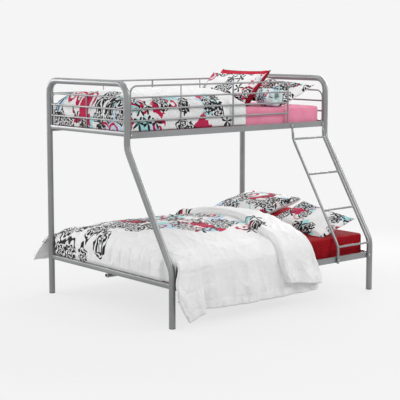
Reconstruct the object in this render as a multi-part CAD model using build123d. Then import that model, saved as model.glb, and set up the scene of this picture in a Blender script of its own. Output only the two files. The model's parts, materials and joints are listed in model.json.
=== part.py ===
from build123d import *
import os
from math import acos, asin, ceil, cos, pi, sin, tan

# A steel twin-over-full bunk bed, dressed with bedding.
# X runs along the bed with the head end at +X, the open side with the ladder
# faces -Y, and Z is up from the floor. The origin is on the floor, under the
# middle of the lower bunk, at the sole of the centre support foot.

# Main tube and the outline of the frame, all on tube centrelines
tube_diameter = 45.0
tube_wall = 1.5
frame_length = 1935.0
lower_width = 1454.0
upper_width = 966.0
arch_height = 1605.0
arch_corner_radius = 90.0
seam_drop = 159.0
upper_bunk_drop = 376.0
lower_side_rail_base = 254.0
leg_bend_low_rise = 129.0
leg_bend_high_drop = 73.0
leg_bend_radius = 120.0

# Slip joint between arch and posts
spigot_length = 60.0
spigot_clearance = 0.3

# Foot glides
glide_height = 4.0
glide_plug_length = 22.0
glide_edge = 1.5

# Side rails: steel angle, flange turned in to carry the slats
side_rail_height = 44.0
side_rail_flange = 32.0
side_rail_thickness = 2.5
side_rail_end_clearance = 2.0

# End rails: rectangular tube
end_rail_height = 33.0
end_rail_width = 20.0
end_rail_wall = 1.5
end_rail_corner = 3.0
upper_end_rail_rise = 15.0
lower_end_rail_rise = 10.0

# Guards
guard_diameter = 12.7
guard_wall = 1.2
strut_diameter = 8.0
guard_top_drop = 17.0
guard_corner_radius = 55.0
guard_rail_pitch = 80.0
guard_rail_count = 3
ladder_bay_spare = 99.0
end_guard_drop = 78.0
end_guard_corner_radius = 60.0
end_guard_rail_count = 2

# Ladder
stile_diameter = 20.0
stile_wall = 1.5
stile_post_offset = 32.0
ladder_width = 338.0
ladder_bend_drop = 5.0
ladder_bend_radius = 110.0
stile_foot_overhang = 5.0
rung_diameter = 16.0
rung_wall = 1.2
rung_count = 4
first_rung_drop = 82.0
last_rung_rise = 116.9
tab_width = 24.0
tab_thickness = 5.0
tab_taper_height = 24.0
stile_cap_height = 3.0
stile_cap_plug = 12.0

# Corner brackets and bolts
bracket_thickness = 3.0
bracket_length = 46.0
bolt_diameter = 8.0
hole_clearance = 0.25
bolt_head_diameter = 14.0
bolt_head_height = 3.2
nut_diameter = 13.0
nut_height = 5.0

# Slats: shallow steel channels, open side down
slat_count = 12
slat_end_margin = 118.0
slat_width = 30.0
slat_height = 12.0
slat_thickness = 1.5
slat_end_clearance = 4.0

# Centre support under the lower bunk
beam_width = 40.0
beam_height = 20.0
beam_wall = 1.5
beam_corner = 3.0
centre_leg_diameter = 30.0
centre_plate_length = 90.0
centre_plate_thickness = 3.0
centre_screw_spacing = 66.0
centre_screw_diameter = 6.0
centre_screw_head_diameter = 10.0
centre_screw_head_height = 2.6

# Mattresses and their fitted sheets
upper_mattress_thickness = 146.0
lower_mattress_thickness = 165.0
mattress_foot_gap = 31.5
mattress_head_gap = 13.5
upper_mattress_side_gap = 27.0
lower_mattress_side_gap = 37.0
mattress_corner = 60.0
mattress_edge = 20.0
mattress_draw = 5.0
mattress_crown = 6.0
mattress_crown_run = 110.0
sheet_thickness = 1.0

# Duvets
lower_duvet_stop = 620.0
lower_duvet_loft = 118.0
lower_duvet_edge_loft = 36.0
lower_duvet_front_clearance = 10.5
lower_duvet_rear_clearance = 12.0
lower_duvet_cloth = 14.0
lower_duvet_wave = 12.0
lower_duvet_flare = 10.0
lower_duvet_rear_flare = 40.0
lower_duvet_hem = 95.0
lower_duvet_rear_hem_drop = 4.0
lower_duvet_knee_rise = 46.0
lower_duvet_head_gap = 459.5
foot_flap_front_reach = 44.0
foot_flap_rear_reach = 108.0
foot_flap_flare = 62.0
upper_duvet_stop = 864.0
upper_duvet_head_gap = 699.5
upper_duvet_loft = 148.0
upper_duvet_edge_loft = 72.0
upper_duvet_hem_rise = 51.0
fold_band_rise = 24.0
duvet_skew = 16.0
foot_pad_front_gap = 100.0
foot_pad_side_gap = 14.0

# Pillows, across the bed by along it by thick
lower_pillow_length_share = 0.41265
upper_pillow_length_share = 0.62112
pillow_depth = 430.0
pillow_thickness = 112.0
under_pillow_thickness = 90.0
sham_depth = 385.0
sham_thickness = 92.0
print_sham_depth = 335.0
pillow_facets = 5
rear_pillow_head_gap = 224.5
front_sham_head_gap = 227.4
back_sham_head_gap = 398.6
print_sham_head_gap = 551.5
head_pillow_head_gap = 220.6
bolster_head_gap = 454.7
bolster_length = 190.0
bolster_diameter = 140.0
bolster_edge = 18.0

# Seats: welded pieces stand this far apart, loose ones that far
weld_gap = 0.3
soft_gap = 0.4
cut_overrun = 10.0

# Flat sides that stand for a round tube, and the turn of one step of a bend
tube_sides = 16
small_tube_sides = 12
bar_sides = 8
bend_step = pi / 10

# Places worked out from the sizes above
post_x = frame_length / 2
rear_y = lower_width / 2
front_low_y = -lower_width / 2
front_top_y = rear_y - upper_width
seam_height = arch_height - seam_drop
upper_side_rail_base = arch_height - upper_bunk_drop
upper_end_rail_base = upper_side_rail_base + upper_end_rail_rise
lower_end_rail_base = lower_side_rail_base + lower_end_rail_rise
leg_bend_low_height = lower_side_rail_base + leg_bend_low_rise
leg_bend_high_height = upper_side_rail_base - leg_bend_high_drop
guard_top_height = arch_height - guard_top_drop
end_guard_height = guard_top_height - end_guard_drop
front_guard_length = frame_length - ladder_width - ladder_bay_spare
tube_radius = tube_diameter / 2
guard_radius = guard_diameter / 2
stile_radius = stile_diameter / 2
upright_offset = guard_radius + weld_gap
rail_face_offset = upright_offset + side_rail_thickness
rail_end_x = post_x - tube_radius - side_rail_end_clearance
corner_bolt_x = post_x - stile_post_offset
centre_y = (rear_y + front_low_y) / 2


def across(run):
    """Direction square to a run: X in the bed's ends, Y along its sides."""
    return Vector(0, 1, 0) if abs(run.X) > abs(run.Y) + abs(run.Z) else Vector(1, 0, 0)


def round_outline(width, depth, sides):
    """Closed outline of a round or pressed tube, its corners on the true curve."""
    turns = [2 * pi * i / sides for i in range(sides)]
    points = [(width / 2 * cos(turn), depth / 2 * sin(turn)) for turn in turns]
    return make_face(Polyline(*points, close=True))


def rod(start, end, diameter, sides):
    """Solid round bar between two points."""
    start, end = Vector(*start), Vector(*end)
    run = end - start
    plane = Plane(origin=start, x_dir=across(run), z_dir=run)
    return extrude(plane * round_outline(diameter, diameter, sides), amount=run.length)


def tube(start, end, diameter, wall, sides):
    """Round tube between two points, open at both ends."""
    return rod(start, end, diameter, sides) - rod(start, end, diameter - 2 * wall, sides)


def bend_stations(points, radius):
    """Places and headings along straight runs joined by tangent arcs."""
    points = [Vector(*point) for point in points]
    stations = [(points[0], (points[1] - points[0]).normalized())]
    for before, corner, after in zip(points, points[1:], points[2:]):
        ahead = (corner - before).normalized()
        onward = (after - corner).normalized()
        turn = acos(ahead.dot(onward))
        aside = (onward - ahead * cos(turn)).normalized()
        start = corner - ahead * radius * tan(turn / 2)
        steps = ceil(turn / bend_step)
        for angle in [turn * i / steps for i in range(steps + 1)]:
            place = start + ahead * radius * sin(angle) + aside * radius * (1 - cos(angle))
            stations.append((place, ahead * cos(angle) + aside * sin(angle)))
    stations.append((points[-1], (points[-1] - points[-2]).normalized()))
    return stations


def bent_bar(points, radius, diameter, sides, square):
    """Solid round bar along a bent path; square is the normal of its plane."""
    outline = round_outline(diameter, diameter, sides)
    sections = [Plane(origin=place, x_dir=square, z_dir=heading) * outline
                for place, heading in bend_stations(points, radius)]
    return loft(sections, ruled=True)


def bent_tube(points, radius, diameter, wall, sides, square):
    """Round tube along a bent path, open at both ends."""
    outer = bent_bar(points, radius, diameter, sides, square)
    return outer - bent_bar(points, radius, diameter - 2 * wall, sides, square)


def box_tube(start, end, width, height, wall, corner):
    """Level rectangular tube with broken corners."""
    start, end = Vector(*start), Vector(*end)
    run = end - start
    plane = Plane(origin=start, x_dir=across(run), z_dir=run)
    outer = chamfer(Rectangle(width, height).vertices(), corner)
    inner = chamfer(Rectangle(width - 2 * wall, height - 2 * wall).vertices(), corner - wall / 2)
    return extrude(plane * (outer - inner), amount=run.length)


def skin(sections):
    """Solid with flat facets drawn through closed sections of places."""
    sections = [[Vector(*place) for place in section] for section in sections]
    faces = [Face(Wire.make_polygon(section, close=True)) for section in (sections[0], sections[-1])]
    for near, far in zip(sections, sections[1:]):
        for i in range(len(near)):
            a, b = near[i - 1], near[i]
            c, d = far[i], far[i - 1]
            faces.append(Face(Wire.make_polygon([a, b, c], close=True)))
            faces.append(Face(Wire.make_polygon([a, c, d], close=True)))
    return Solid(Shell(faces)).clean()


def block(low, high):
    """Plain box between two opposite corners."""
    size = [b - a for a, b in zip(low, high)]
    middle = [(a + b) / 2 for a, b in zip(low, high)]
    return Pos(*middle) * Box(*size)


def coped(shape, mates):
    """Cut to a saddle round each mate, a (start, end, diameter, sides) bar."""
    for start, end, diameter, sides in mates:
        shape = shape - rod(start, end, diameter + 2 * weld_gap, sides)
    return shape


def group(solids):
    """Several separate solids held in one node."""
    return Compound(children=list(solids))


def hole_along_y(x, y, z):
    """Cutter for one bolt hole through a rail and what is fastened to it."""
    return rod((x, y - side_rail_flange, z), (x, y + side_rail_flange, z),
               bolt_diameter + 2 * hole_clearance, bar_sides)


def hole_along_z(x, low, high, diameter):
    """Cutter for an upright hole on the bed's long centre line."""
    return rod((x, centre_y, low - cut_overrun), (x, centre_y, high + cut_overrun),
               diameter + 2 * hole_clearance, bar_sides)


# Posts, legs and arches

def post_mate(x, y, low, high):
    """A stretch of post as a bar that other pieces are cut round."""
    return (x, y, low - cut_overrun), (x, y, high + cut_overrun), tube_diameter, tube_sides


def rear_post(x):
    """Straight rear post from its glide to the seam."""
    return tube((x, rear_y, glide_height), (x, rear_y, seam_height),
                tube_diameter, tube_wall, tube_sides)


def front_leg(x):
    """Front leg: upright, slanted back to the narrower upper bunk, upright."""
    points = (
        (x, front_low_y, glide_height),
        (x, front_low_y, leg_bend_low_height),
        (x, front_top_y, leg_bend_high_height),
        (x, front_top_y, seam_height),
    )
    return bent_tube(points, leg_bend_radius, tube_diameter, tube_wall, tube_sides, (1, 0, 0))


def end_arch(x):
    """Inverted U over one end; its swaged ends slip down into the posts."""
    points = (
        (x, rear_y, seam_height),
        (x, rear_y, arch_height),
        (x, front_top_y, arch_height),
        (x, front_top_y, seam_height),
    )
    arch = bent_tube(points, arch_corner_radius, tube_diameter, tube_wall, tube_sides, (1, 0, 0))
    spigot = tube_diameter - 2 * (tube_wall + spigot_clearance)
    shoulder_wall = 2 * tube_wall + spigot_clearance
    for y in (rear_y, front_top_y):
        low = (x, y, seam_height - spigot_length)
        seam = (x, y, seam_height)
        lip = (x, y, seam_height + tube_wall)
        shoulder = tube(seam, lip, tube_diameter, shoulder_wall, tube_sides)
        arch = arch + shoulder + tube(low, lip, spigot, tube_wall, tube_sides)
    return arch


def glide(x, y, diameter, wall, sides):
    """Plastic foot pushed into a tube end, its sole with a broken edge."""
    sole = extrude(Pos(x, y, 0) * round_outline(diameter, diameter, sides), amount=glide_height)
    sole = chamfer(sole.edges().group_by(Axis.Z)[0], glide_edge)
    plug = diameter - 2 * (wall + spigot_clearance)
    return sole + rod((x, y, glide_height), (x, y, glide_height + glide_plug_length), plug, sides)


# Rails that join the ends

def side_rail(y, outward, base, hole_xs):
    """Angle rail: the upright shows outside, the flange carries the slats."""
    outer = y + outward * rail_face_offset
    inner = y + outward * upright_offset
    lip = outer - outward * side_rail_flange
    top = base + side_rail_height
    seat = base + side_rail_thickness
    outline = Polyline((outer, base), (outer, top), (inner, top), (inner, seat),
                       (lip, seat), (lip, base), close=True)
    plane = Plane(origin=(-rail_end_x, 0, 0), x_dir=(0, 1, 0), z_dir=(1, 0, 0))
    rail = extrude(plane * make_face(outline), amount=2 * rail_end_x)
    for x in hole_xs:
        rail = rail - hole_along_y(x, y, base + side_rail_height / 2)
    return rail


def corner_bracket(side, y, outward, base):
    """Plate welded to the post, behind the upright of the angle."""
    low = base + side_rail_thickness + weld_gap
    high = base + side_rail_height
    face = y + outward * (upright_offset - weld_gap)
    back = face - outward * bracket_thickness
    inner_x = post_x - tube_radius - bracket_length
    xs = sorted((side * inner_x, side * post_x))
    ys = sorted((face, back))
    plate = block((xs[0], ys[0], low), (xs[1], ys[1], high))
    plate = coped(plate, [post_mate(side * post_x, y, low, high)])
    return plate - hole_along_y(side * corner_bolt_x, y, base + side_rail_height / 2)


def end_rail(x, front_y, base):
    """Rectangular end rail between the rear post and the front leg."""
    z = base + end_rail_height / 2
    bar = box_tube((x, front_y, z), (x, rear_y, z), end_rail_width, end_rail_height,
                   end_rail_wall, end_rail_corner)
    top = base + end_rail_height
    return coped(bar, [post_mate(x, front_y, base, top), post_mate(x, rear_y, base, top)])


# Guards

guard_reach = tube_radius + guard_radius + weld_gap
guard_left_x = -post_x + guard_reach
front_guard_right_x = guard_left_x + front_guard_length
rear_guard_right_x = -guard_left_x
guard_foot = upper_side_rail_base + side_rail_thickness + weld_gap
bracket_top = upper_side_rail_base + side_rail_height + weld_gap
guard_rail_heights = [guard_top_height - guard_rail_pitch * (i + 1) for i in range(guard_rail_count)]
quarter_x = frame_length / 4


def long_guard_hoop(y, right_x, right_foot):
    """Hoop of a side guard; the foot end leg stands over the corner bracket."""
    points = (
        (guard_left_x, y, bracket_top),
        (guard_left_x, y, guard_top_height),
        (right_x, y, guard_top_height),
        (right_x, y, right_foot),
    )
    return bent_tube(points, guard_corner_radius, guard_diameter, guard_wall,
                     small_tube_sides, (0, 1, 0))


def upright_mate(x, y, z):
    """An upright guard tube beside a level one, as a bar to cut round."""
    return (x, y, z - guard_diameter), (x, y, z + guard_diameter), guard_diameter, small_tube_sides


def level_mate(x, y, z, step):
    """A level guard tube over an upright one; step is half its stretch."""
    return ((x - step[0], y - step[1], z), (x + step[0], y + step[1], z),
            guard_diameter, small_tube_sides)


def guard_rail(start, end):
    """Level guard tube, cut round the uprights at both ends."""
    rail = tube(start, end, guard_diameter, guard_wall, small_tube_sides)
    return coped(rail, [upright_mate(*start), upright_mate(*end)])


def side_guard_rails(y, right_x):
    """Level tubes of a side guard, in two bays beside its middle upright."""
    bays = ((guard_left_x, 0), (0, right_x))
    return [guard_rail((low, y, z), (high, y, z)) for z in guard_rail_heights for low, high in bays]


def middle_upright(y):
    """Thick middle upright of a side guard, welded inside the angle rail."""
    post = tube((0, y, guard_foot), (0, y, guard_top_height),
                guard_diameter, guard_wall, small_tube_sides)
    return coped(post, [level_mate(0, y, guard_top_height, (guard_diameter, 0))])


def side_strut(x, y, outward):
    """Thin bar behind the level tubes of a side guard, from rail to top tube."""
    inner_y = y - outward * (guard_radius + weld_gap + strut_diameter / 2)
    return rod((x, inner_y, guard_foot), (x, inner_y, guard_top_height), strut_diameter, bar_sides)


def end_struts(x, y):
    """Thin bars between the level tubes of an end guard, down to the end rail."""
    heights = [end_guard_height] + end_guard_rail_heights
    bars = []
    for high, low in zip(heights, heights[1:]):
        bar = rod((x, y, low), (x, y, high), strut_diameter, bar_sides)
        mates = [level_mate(x, y, low, (0, guard_diameter)), level_mate(x, y, high, (0, guard_diameter))]
        bars.append(coped(bar, mates))
    last = rod((x, y, end_rail_top + weld_gap), (x, y, heights[-1]), strut_diameter, bar_sides)
    bars.append(coped(last, [level_mate(x, y, heights[-1], (0, guard_diameter))]))
    return bars


end_rail_top = upper_end_rail_base + end_rail_height
end_guard_rear_y = rear_y - guard_reach
end_guard_front_y = front_top_y + guard_reach
end_guard_mid_y = (rear_y + front_top_y) / 2
end_guard_rail_heights = guard_rail_heights[-end_guard_rail_count:]


def end_guard_hoop(x):
    """Hoop of an end guard, standing on the upper end rail."""
    foot = end_rail_top + weld_gap
    points = (
        (x, end_guard_rear_y, foot),
        (x, end_guard_rear_y, end_guard_height),
        (x, end_guard_front_y, end_guard_height),
        (x, end_guard_front_y, foot),
    )
    return bent_tube(points, end_guard_corner_radius, guard_diameter, guard_wall,
                     small_tube_sides, (1, 0, 0))


# Ladder

ladder_right_x = corner_bolt_x
ladder_left_x = ladder_right_x - ladder_width
stile_offset = rail_face_offset + weld_gap + stile_radius
stile_top_y = front_top_y - stile_offset
stile_low_y = front_low_y - stile_offset
stile_bend_high = leg_bend_high_height - ladder_bend_drop
stile_bend_low = leg_bend_low_height - ladder_bend_drop
stile_foot = lower_side_rail_base - stile_foot_overhang
tab_foot = upper_side_rail_base - tab_taper_height / 2
upper_bolt_height = upper_side_rail_base + side_rail_height / 2
lower_bolt_height = lower_side_rail_base + side_rail_height / 2
first_rung_height = upper_side_rail_base - first_rung_drop
last_rung_height = lower_side_rail_base + last_rung_rise
rung_pitch = (first_rung_height - last_rung_height) / (rung_count - 1)


def stile_path(x):
    """Centreline of a stile, parallel to the front leg beside it."""
    return (
        (x, stile_low_y, stile_foot + stile_cap_height),
        (x, stile_low_y, stile_bend_low),
        (x, stile_top_y, stile_bend_high),
        (x, stile_top_y, tab_foot - tab_taper_height),
    )


def ladder_stile(x):
    """Bent stile; its top end is pressed flat against the upper side rail."""
    stile = bent_tube(stile_path(x), ladder_bend_radius, stile_diameter, stile_wall,
                      small_tube_sides, (1, 0, 0))
    tab_y = front_top_y - rail_face_offset - weld_gap - tab_thickness / 2
    tab_top = upper_bolt_height + tab_width / 2
    round_end = round_outline(stile_diameter, stile_diameter, small_tube_sides)
    flat_end = round_outline(tab_width, tab_thickness, small_tube_sides)
    narrow_end = round_outline(tab_width / 2, tab_thickness, small_tube_sides)
    pressed = loft([
        Pos(x, stile_top_y, tab_foot - tab_taper_height) * round_end,
        Pos(x, tab_y, tab_foot) * flat_end,
        Pos(x, tab_y, tab_top - tab_width / 4) * flat_end,
        Pos(x, tab_y, tab_top) * narrow_end,
    ], ruled=True)
    stile = stile + pressed
    stile = stile - hole_along_y(x, tab_y, upper_bolt_height)
    return stile - hole_along_y(x, stile_low_y, lower_bolt_height)


def stile_y_at(z):
    """Centreline of the stile at a height, through its bends."""
    rise = stile_bend_high - stile_bend_low
    run = stile_top_y - stile_low_y
    slant = Vector(0, run, rise).normalized()
    reach = ladder_bend_radius * tan(acos(slant.Z) / 2)
    above_low = z - (stile_bend_low - reach)
    below_high = stile_bend_high + reach - z
    arc = ladder_bend_radius * slant.Y
    if above_low < arc:
        return stile_low_y + arc_offset(max(above_low, 0))
    if below_high < arc:
        return stile_top_y - arc_offset(max(below_high, 0))
    return stile_low_y + run * (z - stile_bend_low) / rise


def arc_offset(distance):
    """How far a stile's bend has turned aside after a straight distance."""
    return ladder_bend_radius - (ladder_bend_radius ** 2 - distance ** 2) ** 0.5


def rung(index):
    """One rung between the stiles, cut round them."""
    z = first_rung_height - index * rung_pitch
    y = stile_y_at(z)
    bar = tube((ladder_left_x, y, z), (ladder_right_x, y, z), rung_diameter, rung_wall,
               small_tube_sides)
    for x in (ladder_left_x, ladder_right_x):
        bar = bar - bent_bar(stile_path(x), ladder_bend_radius, stile_diameter + 2 * weld_gap,
                             small_tube_sides, (1, 0, 0))
    return bar


def stile_cap(x):
    """Plastic plug in the lower end of a stile."""
    middle = stile_foot + stile_cap_height
    head = rod((x, stile_low_y, stile_foot), (x, stile_low_y, middle), stile_diameter,
               small_tube_sides)
    plug = stile_diameter - 2 * (stile_wall + spigot_clearance)
    return head + rod((x, stile_low_y, middle), (x, stile_low_y, middle + stile_cap_plug), plug,
                      small_tube_sides)


# Fasteners

def dome_bolt(head_seat, inward, grip):
    """Bolt with a low domed head on its seat and a nut past the grip."""
    seat, inward = Vector(*head_seat), Vector(*inward)
    square = (1, 0, 0)
    plane = Plane(origin=seat, x_dir=square, z_dir=inward)
    crown = Plane(origin=seat - inward * bolt_head_height, x_dir=square, z_dir=inward)
    nut_plane = Plane(origin=seat + inward * grip, x_dir=square, z_dir=inward)
    base = round_outline(bolt_head_diameter, bolt_head_diameter, bar_sides)
    top = round_outline(bolt_diameter, bolt_diameter, bar_sides)
    head = loft([crown * top, plane * base], ruled=True)
    shank = extrude(plane * top, amount=grip + nut_height)
    nut = extrude(nut_plane * RegularPolygon(nut_diameter / 2, 6), amount=nut_height)
    return head + shank + nut


def rail_bolt(x, y, outward, base):
    """Bolt through a side rail and its corner bracket."""
    seat = (x, y + outward * (rail_face_offset + weld_gap), base + side_rail_height / 2)
    return dome_bolt(seat, (0, -outward, 0), side_rail_thickness + bracket_thickness + 3 * weld_gap)


def ladder_bolt(x, top, grip_bracket):
    """Bolt through a stile and the side rail behind it."""
    backing = bracket_thickness + weld_gap if grip_bracket else 0
    if top:
        seat = (x, front_top_y - rail_face_offset - 2 * weld_gap - tab_thickness, upper_bolt_height)
        grip = tab_thickness
    else:
        seat = (x, stile_low_y - stile_radius - weld_gap, lower_bolt_height)
        grip = stile_diameter
    return dome_bolt(seat, (0, 1, 0), grip + side_rail_thickness + backing + 3 * weld_gap)


# Slats and the centre support

def slats(front_y, base):
    """Row of channel slats lying on the two flanges."""
    low_y = front_y - upright_offset + slat_end_clearance
    high_y = rear_y + upright_offset - slat_end_clearance
    outer = Pos(0, slat_height / 2) * Rectangle(slat_width, slat_height)
    inner = Pos(0, (slat_height - slat_thickness) / 2) * Rectangle(
        slat_width - 2 * slat_thickness, slat_height - slat_thickness)
    plane = Plane(origin=(0, low_y, base + side_rail_thickness), x_dir=(-1, 0, 0), z_dir=(0, 1, 0))
    channel = extrude(plane * (outer - inner), amount=high_y - low_y)
    first = slat_end_margin - rail_end_x
    pitch = -2 * first / (slat_count - 1)
    return [Pos(first + i * pitch, 0, 0) * channel for i in range(slat_count)]


beam_top = lower_side_rail_base + side_rail_thickness
beam_base = beam_top - beam_height
beam_end_x = post_x + end_rail_width / 2


def centre_beam():
    """Rectangular beam that runs under the slats and below both end rails."""
    z = beam_base + beam_height / 2
    beam = box_tube((-beam_end_x, centre_y, z), (beam_end_x, centre_y, z),
                    beam_width, beam_height, beam_wall, beam_corner)
    for side in (-1, 1):
        beam = beam - hole_along_z(side * post_x, beam_base, beam_top, bolt_diameter)
        beam = beam - hole_along_z(side * centre_screw_spacing / 2, beam_base, beam_base,
                                   centre_screw_diameter)
    return beam


def beam_spacer(side):
    """Sleeve between the beam and the end rail above it."""
    x = side * post_x
    sleeve = rod((x, centre_y, beam_top), (x, centre_y, lower_end_rail_base), nut_diameter, bar_sides)
    return sleeve - hole_along_z(x, beam_top, lower_end_rail_base, bolt_diameter)


def beam_bolt(side):
    """Long bolt from the top of the end rail down through the beam."""
    top = lower_end_rail_base + end_rail_height
    return dome_bolt((side * post_x, centre_y, top), (0, 0, -1), top - beam_base)


def centre_leg():
    """Support leg with its welded top plate under the beam."""
    seat = beam_base - centre_plate_thickness
    plate = chamfer(Rectangle(centre_plate_length, beam_width).vertices(), beam_corner)
    plate = extrude(Pos(0, centre_y, seat) * plate, amount=centre_plate_thickness)
    leg = tube((0, centre_y, glide_height), (0, centre_y, seat),
               centre_leg_diameter, tube_wall, small_tube_sides)
    leg = leg + plate
    for side in (-1, 1):
        leg = leg - hole_along_z(side * centre_screw_spacing / 2, seat, seat, centre_screw_diameter)
    return leg


def centre_screw(side):
    """Short screw up through the plate into the beam."""
    x = side * centre_screw_spacing / 2
    seat = beam_base - centre_plate_thickness
    shank = rod((x, centre_y, seat), (x, centre_y, beam_base + beam_height / 2),
                centre_screw_diameter, bar_sides)
    head = rod((x, centre_y, seat - centre_screw_head_height), (x, centre_y, seat),
               centre_screw_head_diameter, bar_sides)
    return shank + head


# The nodes of the steel frame

parts = {}


def add_pair(name, foot_shape):
    """File a foot end piece and its mirror image at the head end."""
    parts["foot_" + name] = foot_shape
    parts["head_" + name] = mirror(foot_shape, about=Plane.YZ)


def drilled_end_rail():
    """Lower end rail with the hole for the beam's bolt."""
    rail = end_rail(-post_x, front_low_y, lower_end_rail_base)
    high = lower_end_rail_base + end_rail_height
    return rail - hole_along_z(-post_x, lower_end_rail_base, high, bolt_diameter)


add_pair("end_arch", end_arch(-post_x))
add_pair("rear_post", rear_post(-post_x))
add_pair("front_leg", front_leg(-post_x))
add_pair("upper_end_rail", end_rail(-post_x, front_top_y, upper_end_rail_base))
add_pair("lower_end_rail", drilled_end_rail())
add_pair("guard_hoop", end_guard_hoop(-post_x))
add_pair("guard_rails", group(
    guard_rail((-post_x, end_guard_front_y, z), (-post_x, end_guard_rear_y, z))
    for z in end_guard_rail_heights))
add_pair("guard_struts", group(end_struts(-post_x, end_guard_mid_y)))

plain_hole_xs = (-corner_bolt_x, corner_bolt_x)
ladder_hole_xs = (-corner_bolt_x, ladder_left_x, ladder_right_x)
parts["upper_front_side_rail"] = side_rail(front_top_y, -1, upper_side_rail_base, ladder_hole_xs)
parts["upper_rear_side_rail"] = side_rail(rear_y, 1, upper_side_rail_base, plain_hole_xs)
parts["lower_front_side_rail"] = side_rail(front_low_y, -1, lower_side_rail_base, ladder_hole_xs)
parts["lower_rear_side_rail"] = side_rail(rear_y, 1, lower_side_rail_base, plain_hole_xs)

parts["front_guard_hoop"] = long_guard_hoop(front_top_y, front_guard_right_x, guard_foot)
parts["front_guard_rails"] = group(side_guard_rails(front_top_y, front_guard_right_x))
parts["front_guard_upright"] = middle_upright(front_top_y)
parts["front_guard_strut"] = side_strut(-quarter_x, front_top_y, -1)
parts["rear_guard_hoop"] = long_guard_hoop(rear_y, rear_guard_right_x, bracket_top)
parts["rear_guard_rails"] = group(side_guard_rails(rear_y, rear_guard_right_x))
parts["rear_guard_upright"] = middle_upright(rear_y)
parts["rear_guard_struts"] = group(side_strut(x, rear_y, 1) for x in (-quarter_x, quarter_x))

parts["ladder_left_stile"] = ladder_stile(ladder_left_x)
parts["ladder_right_stile"] = ladder_stile(ladder_right_x)
parts["ladder_rungs"] = group(rung(i) for i in range(rung_count))
parts["ladder_end_caps"] = group(stile_cap(x) for x in (ladder_left_x, ladder_right_x))
parts["ladder_bolts"] = group(
    ladder_bolt(x, top, x == ladder_right_x)
    for x in (ladder_left_x, ladder_right_x) for top in (True, False))

upper_corners = [(side, y, outward, upper_side_rail_base)
                 for side in (-1, 1) for y, outward in ((front_top_y, -1), (rear_y, 1))]
lower_corners = [(side, y, outward, lower_side_rail_base)
                 for side in (-1, 1) for y, outward in ((front_low_y, -1), (rear_y, 1))]
parts["upper_corner_brackets"] = group(corner_bracket(*corner) for corner in upper_corners)
parts["lower_corner_brackets"] = group(corner_bracket(*corner) for corner in lower_corners)
parts["corner_bolts"] = group(
    rail_bolt(side * corner_bolt_x, y, outward, base)
    for side, y, outward, base in upper_corners + lower_corners
    if not (side > 0 and outward < 0))

parts["upper_slats"] = group(slats(front_top_y, upper_side_rail_base))
parts["lower_slats"] = group(slats(front_low_y, lower_side_rail_base))
parts["centre_beam"] = centre_beam()
parts["beam_spacers"] = group(beam_spacer(side) for side in (-1, 1))
parts["beam_bolts"] = group(beam_bolt(side) for side in (-1, 1))
parts["centre_leg"] = centre_leg()
parts["centre_leg_screws"] = group(centre_screw(side) for side in (-1, 1))
parts["centre_glide"] = glide(0, centre_y, centre_leg_diameter, tube_wall, small_tube_sides)
parts["corner_glides"] = group(
    glide(side * post_x, y, tube_diameter, tube_wall, tube_sides)
    for side in (-1, 1) for y in (rear_y, front_low_y))

# Mattresses and fitted sheets

mattress_foot_x = -post_x + end_rail_width / 2 + mattress_foot_gap
mattress_head_x = post_x - end_rail_width / 2 - mattress_head_gap
upper_bed = (front_top_y + upper_mattress_side_gap, rear_y - upper_mattress_side_gap,
             upper_side_rail_base + side_rail_thickness + slat_height + soft_gap,
             upper_mattress_thickness)
lower_bed = (front_low_y + lower_mattress_side_gap, rear_y - lower_mattress_side_gap,
             lower_side_rail_base + side_rail_thickness + slat_height + soft_gap,
             lower_mattress_thickness)
corner_turns = (0, pi / 6, pi / 3, pi / 2)
sheet_offset = weld_gap + sheet_thickness


def mattress_outline(bed, z, inset):
    """Level outline of a mattress with rounded corners, drawn in by an inset."""
    length = mattress_head_x - mattress_foot_x - 2 * inset
    width = bed[1] - bed[0] - 2 * inset
    radius = mattress_corner
    middle = ((mattress_head_x + mattress_foot_x) / 2, (bed[0] + bed[1]) / 2)
    points = []
    for quarter, (a, b) in enumerate(((1, 1), (-1, 1), (-1, -1), (1, -1))):
        for turn in corner_turns:
            angle = turn + quarter * pi / 2
            points.append((middle[0] + a * (length / 2 - radius) + radius * cos(angle),
                           middle[1] + b * (width / 2 - radius) + radius * sin(angle), z))
    return points


def mattress_levels(bed, offset):
    """Heights and insets of the sides and the crown, grown by an offset."""
    base, thickness = bed[2], bed[3]
    top = base + thickness
    return [
        (base + mattress_edge, -offset),
        (base + thickness / 2, mattress_draw - offset),
        (top - mattress_crown - mattress_edge, -offset),
        (top - mattress_crown + offset, mattress_edge - offset),
        (top + offset, mattress_crown_run - offset),
    ]


def mattress(bed):
    """Mattress with rolled edges, drawn-in sides and a low crown."""
    levels = [(bed[2], mattress_edge)] + mattress_levels(bed, 0)
    return skin([mattress_outline(bed, z, inset) for z, inset in levels])


def fitted_sheet(bed):
    """Thin sheet pulled over a mattress, open below."""
    outer = [mattress_outline(bed, z, inset) for z, inset in mattress_levels(bed, sheet_offset)]
    levels = mattress_levels(bed, weld_gap)
    levels = [(levels[0][0] - sheet_thickness, levels[0][1])] + levels
    inner = [mattress_outline(bed, z, inset) for z, inset in levels]
    return skin(outer) - skin(inner)


def sheet_top(bed):
    """Level that pillows and duvets lie on."""
    return bed[2] + bed[3] + sheet_offset + soft_gap


# Duvets: sections across the bed, each in an upright plane that turns with
# the slanting head edge. Every section is a closed line of places.

skew = tan(duvet_skew * pi / 180)


def drape(stations):
    """Cloth drawn through sections given as (x at the front, turn, places)."""
    sections = []
    for x, turn, places in stations:
        sections.append([(x + (y - places[0][0]) * turn, y, z) for y, z in places])
    return skin(sections)


crown_places_shares = (0.16, 0.34, 0.5, 0.66, 0.84)
crown_heights_shares = (0.62, 0.93, 1.0, 0.93, 0.62)


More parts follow.
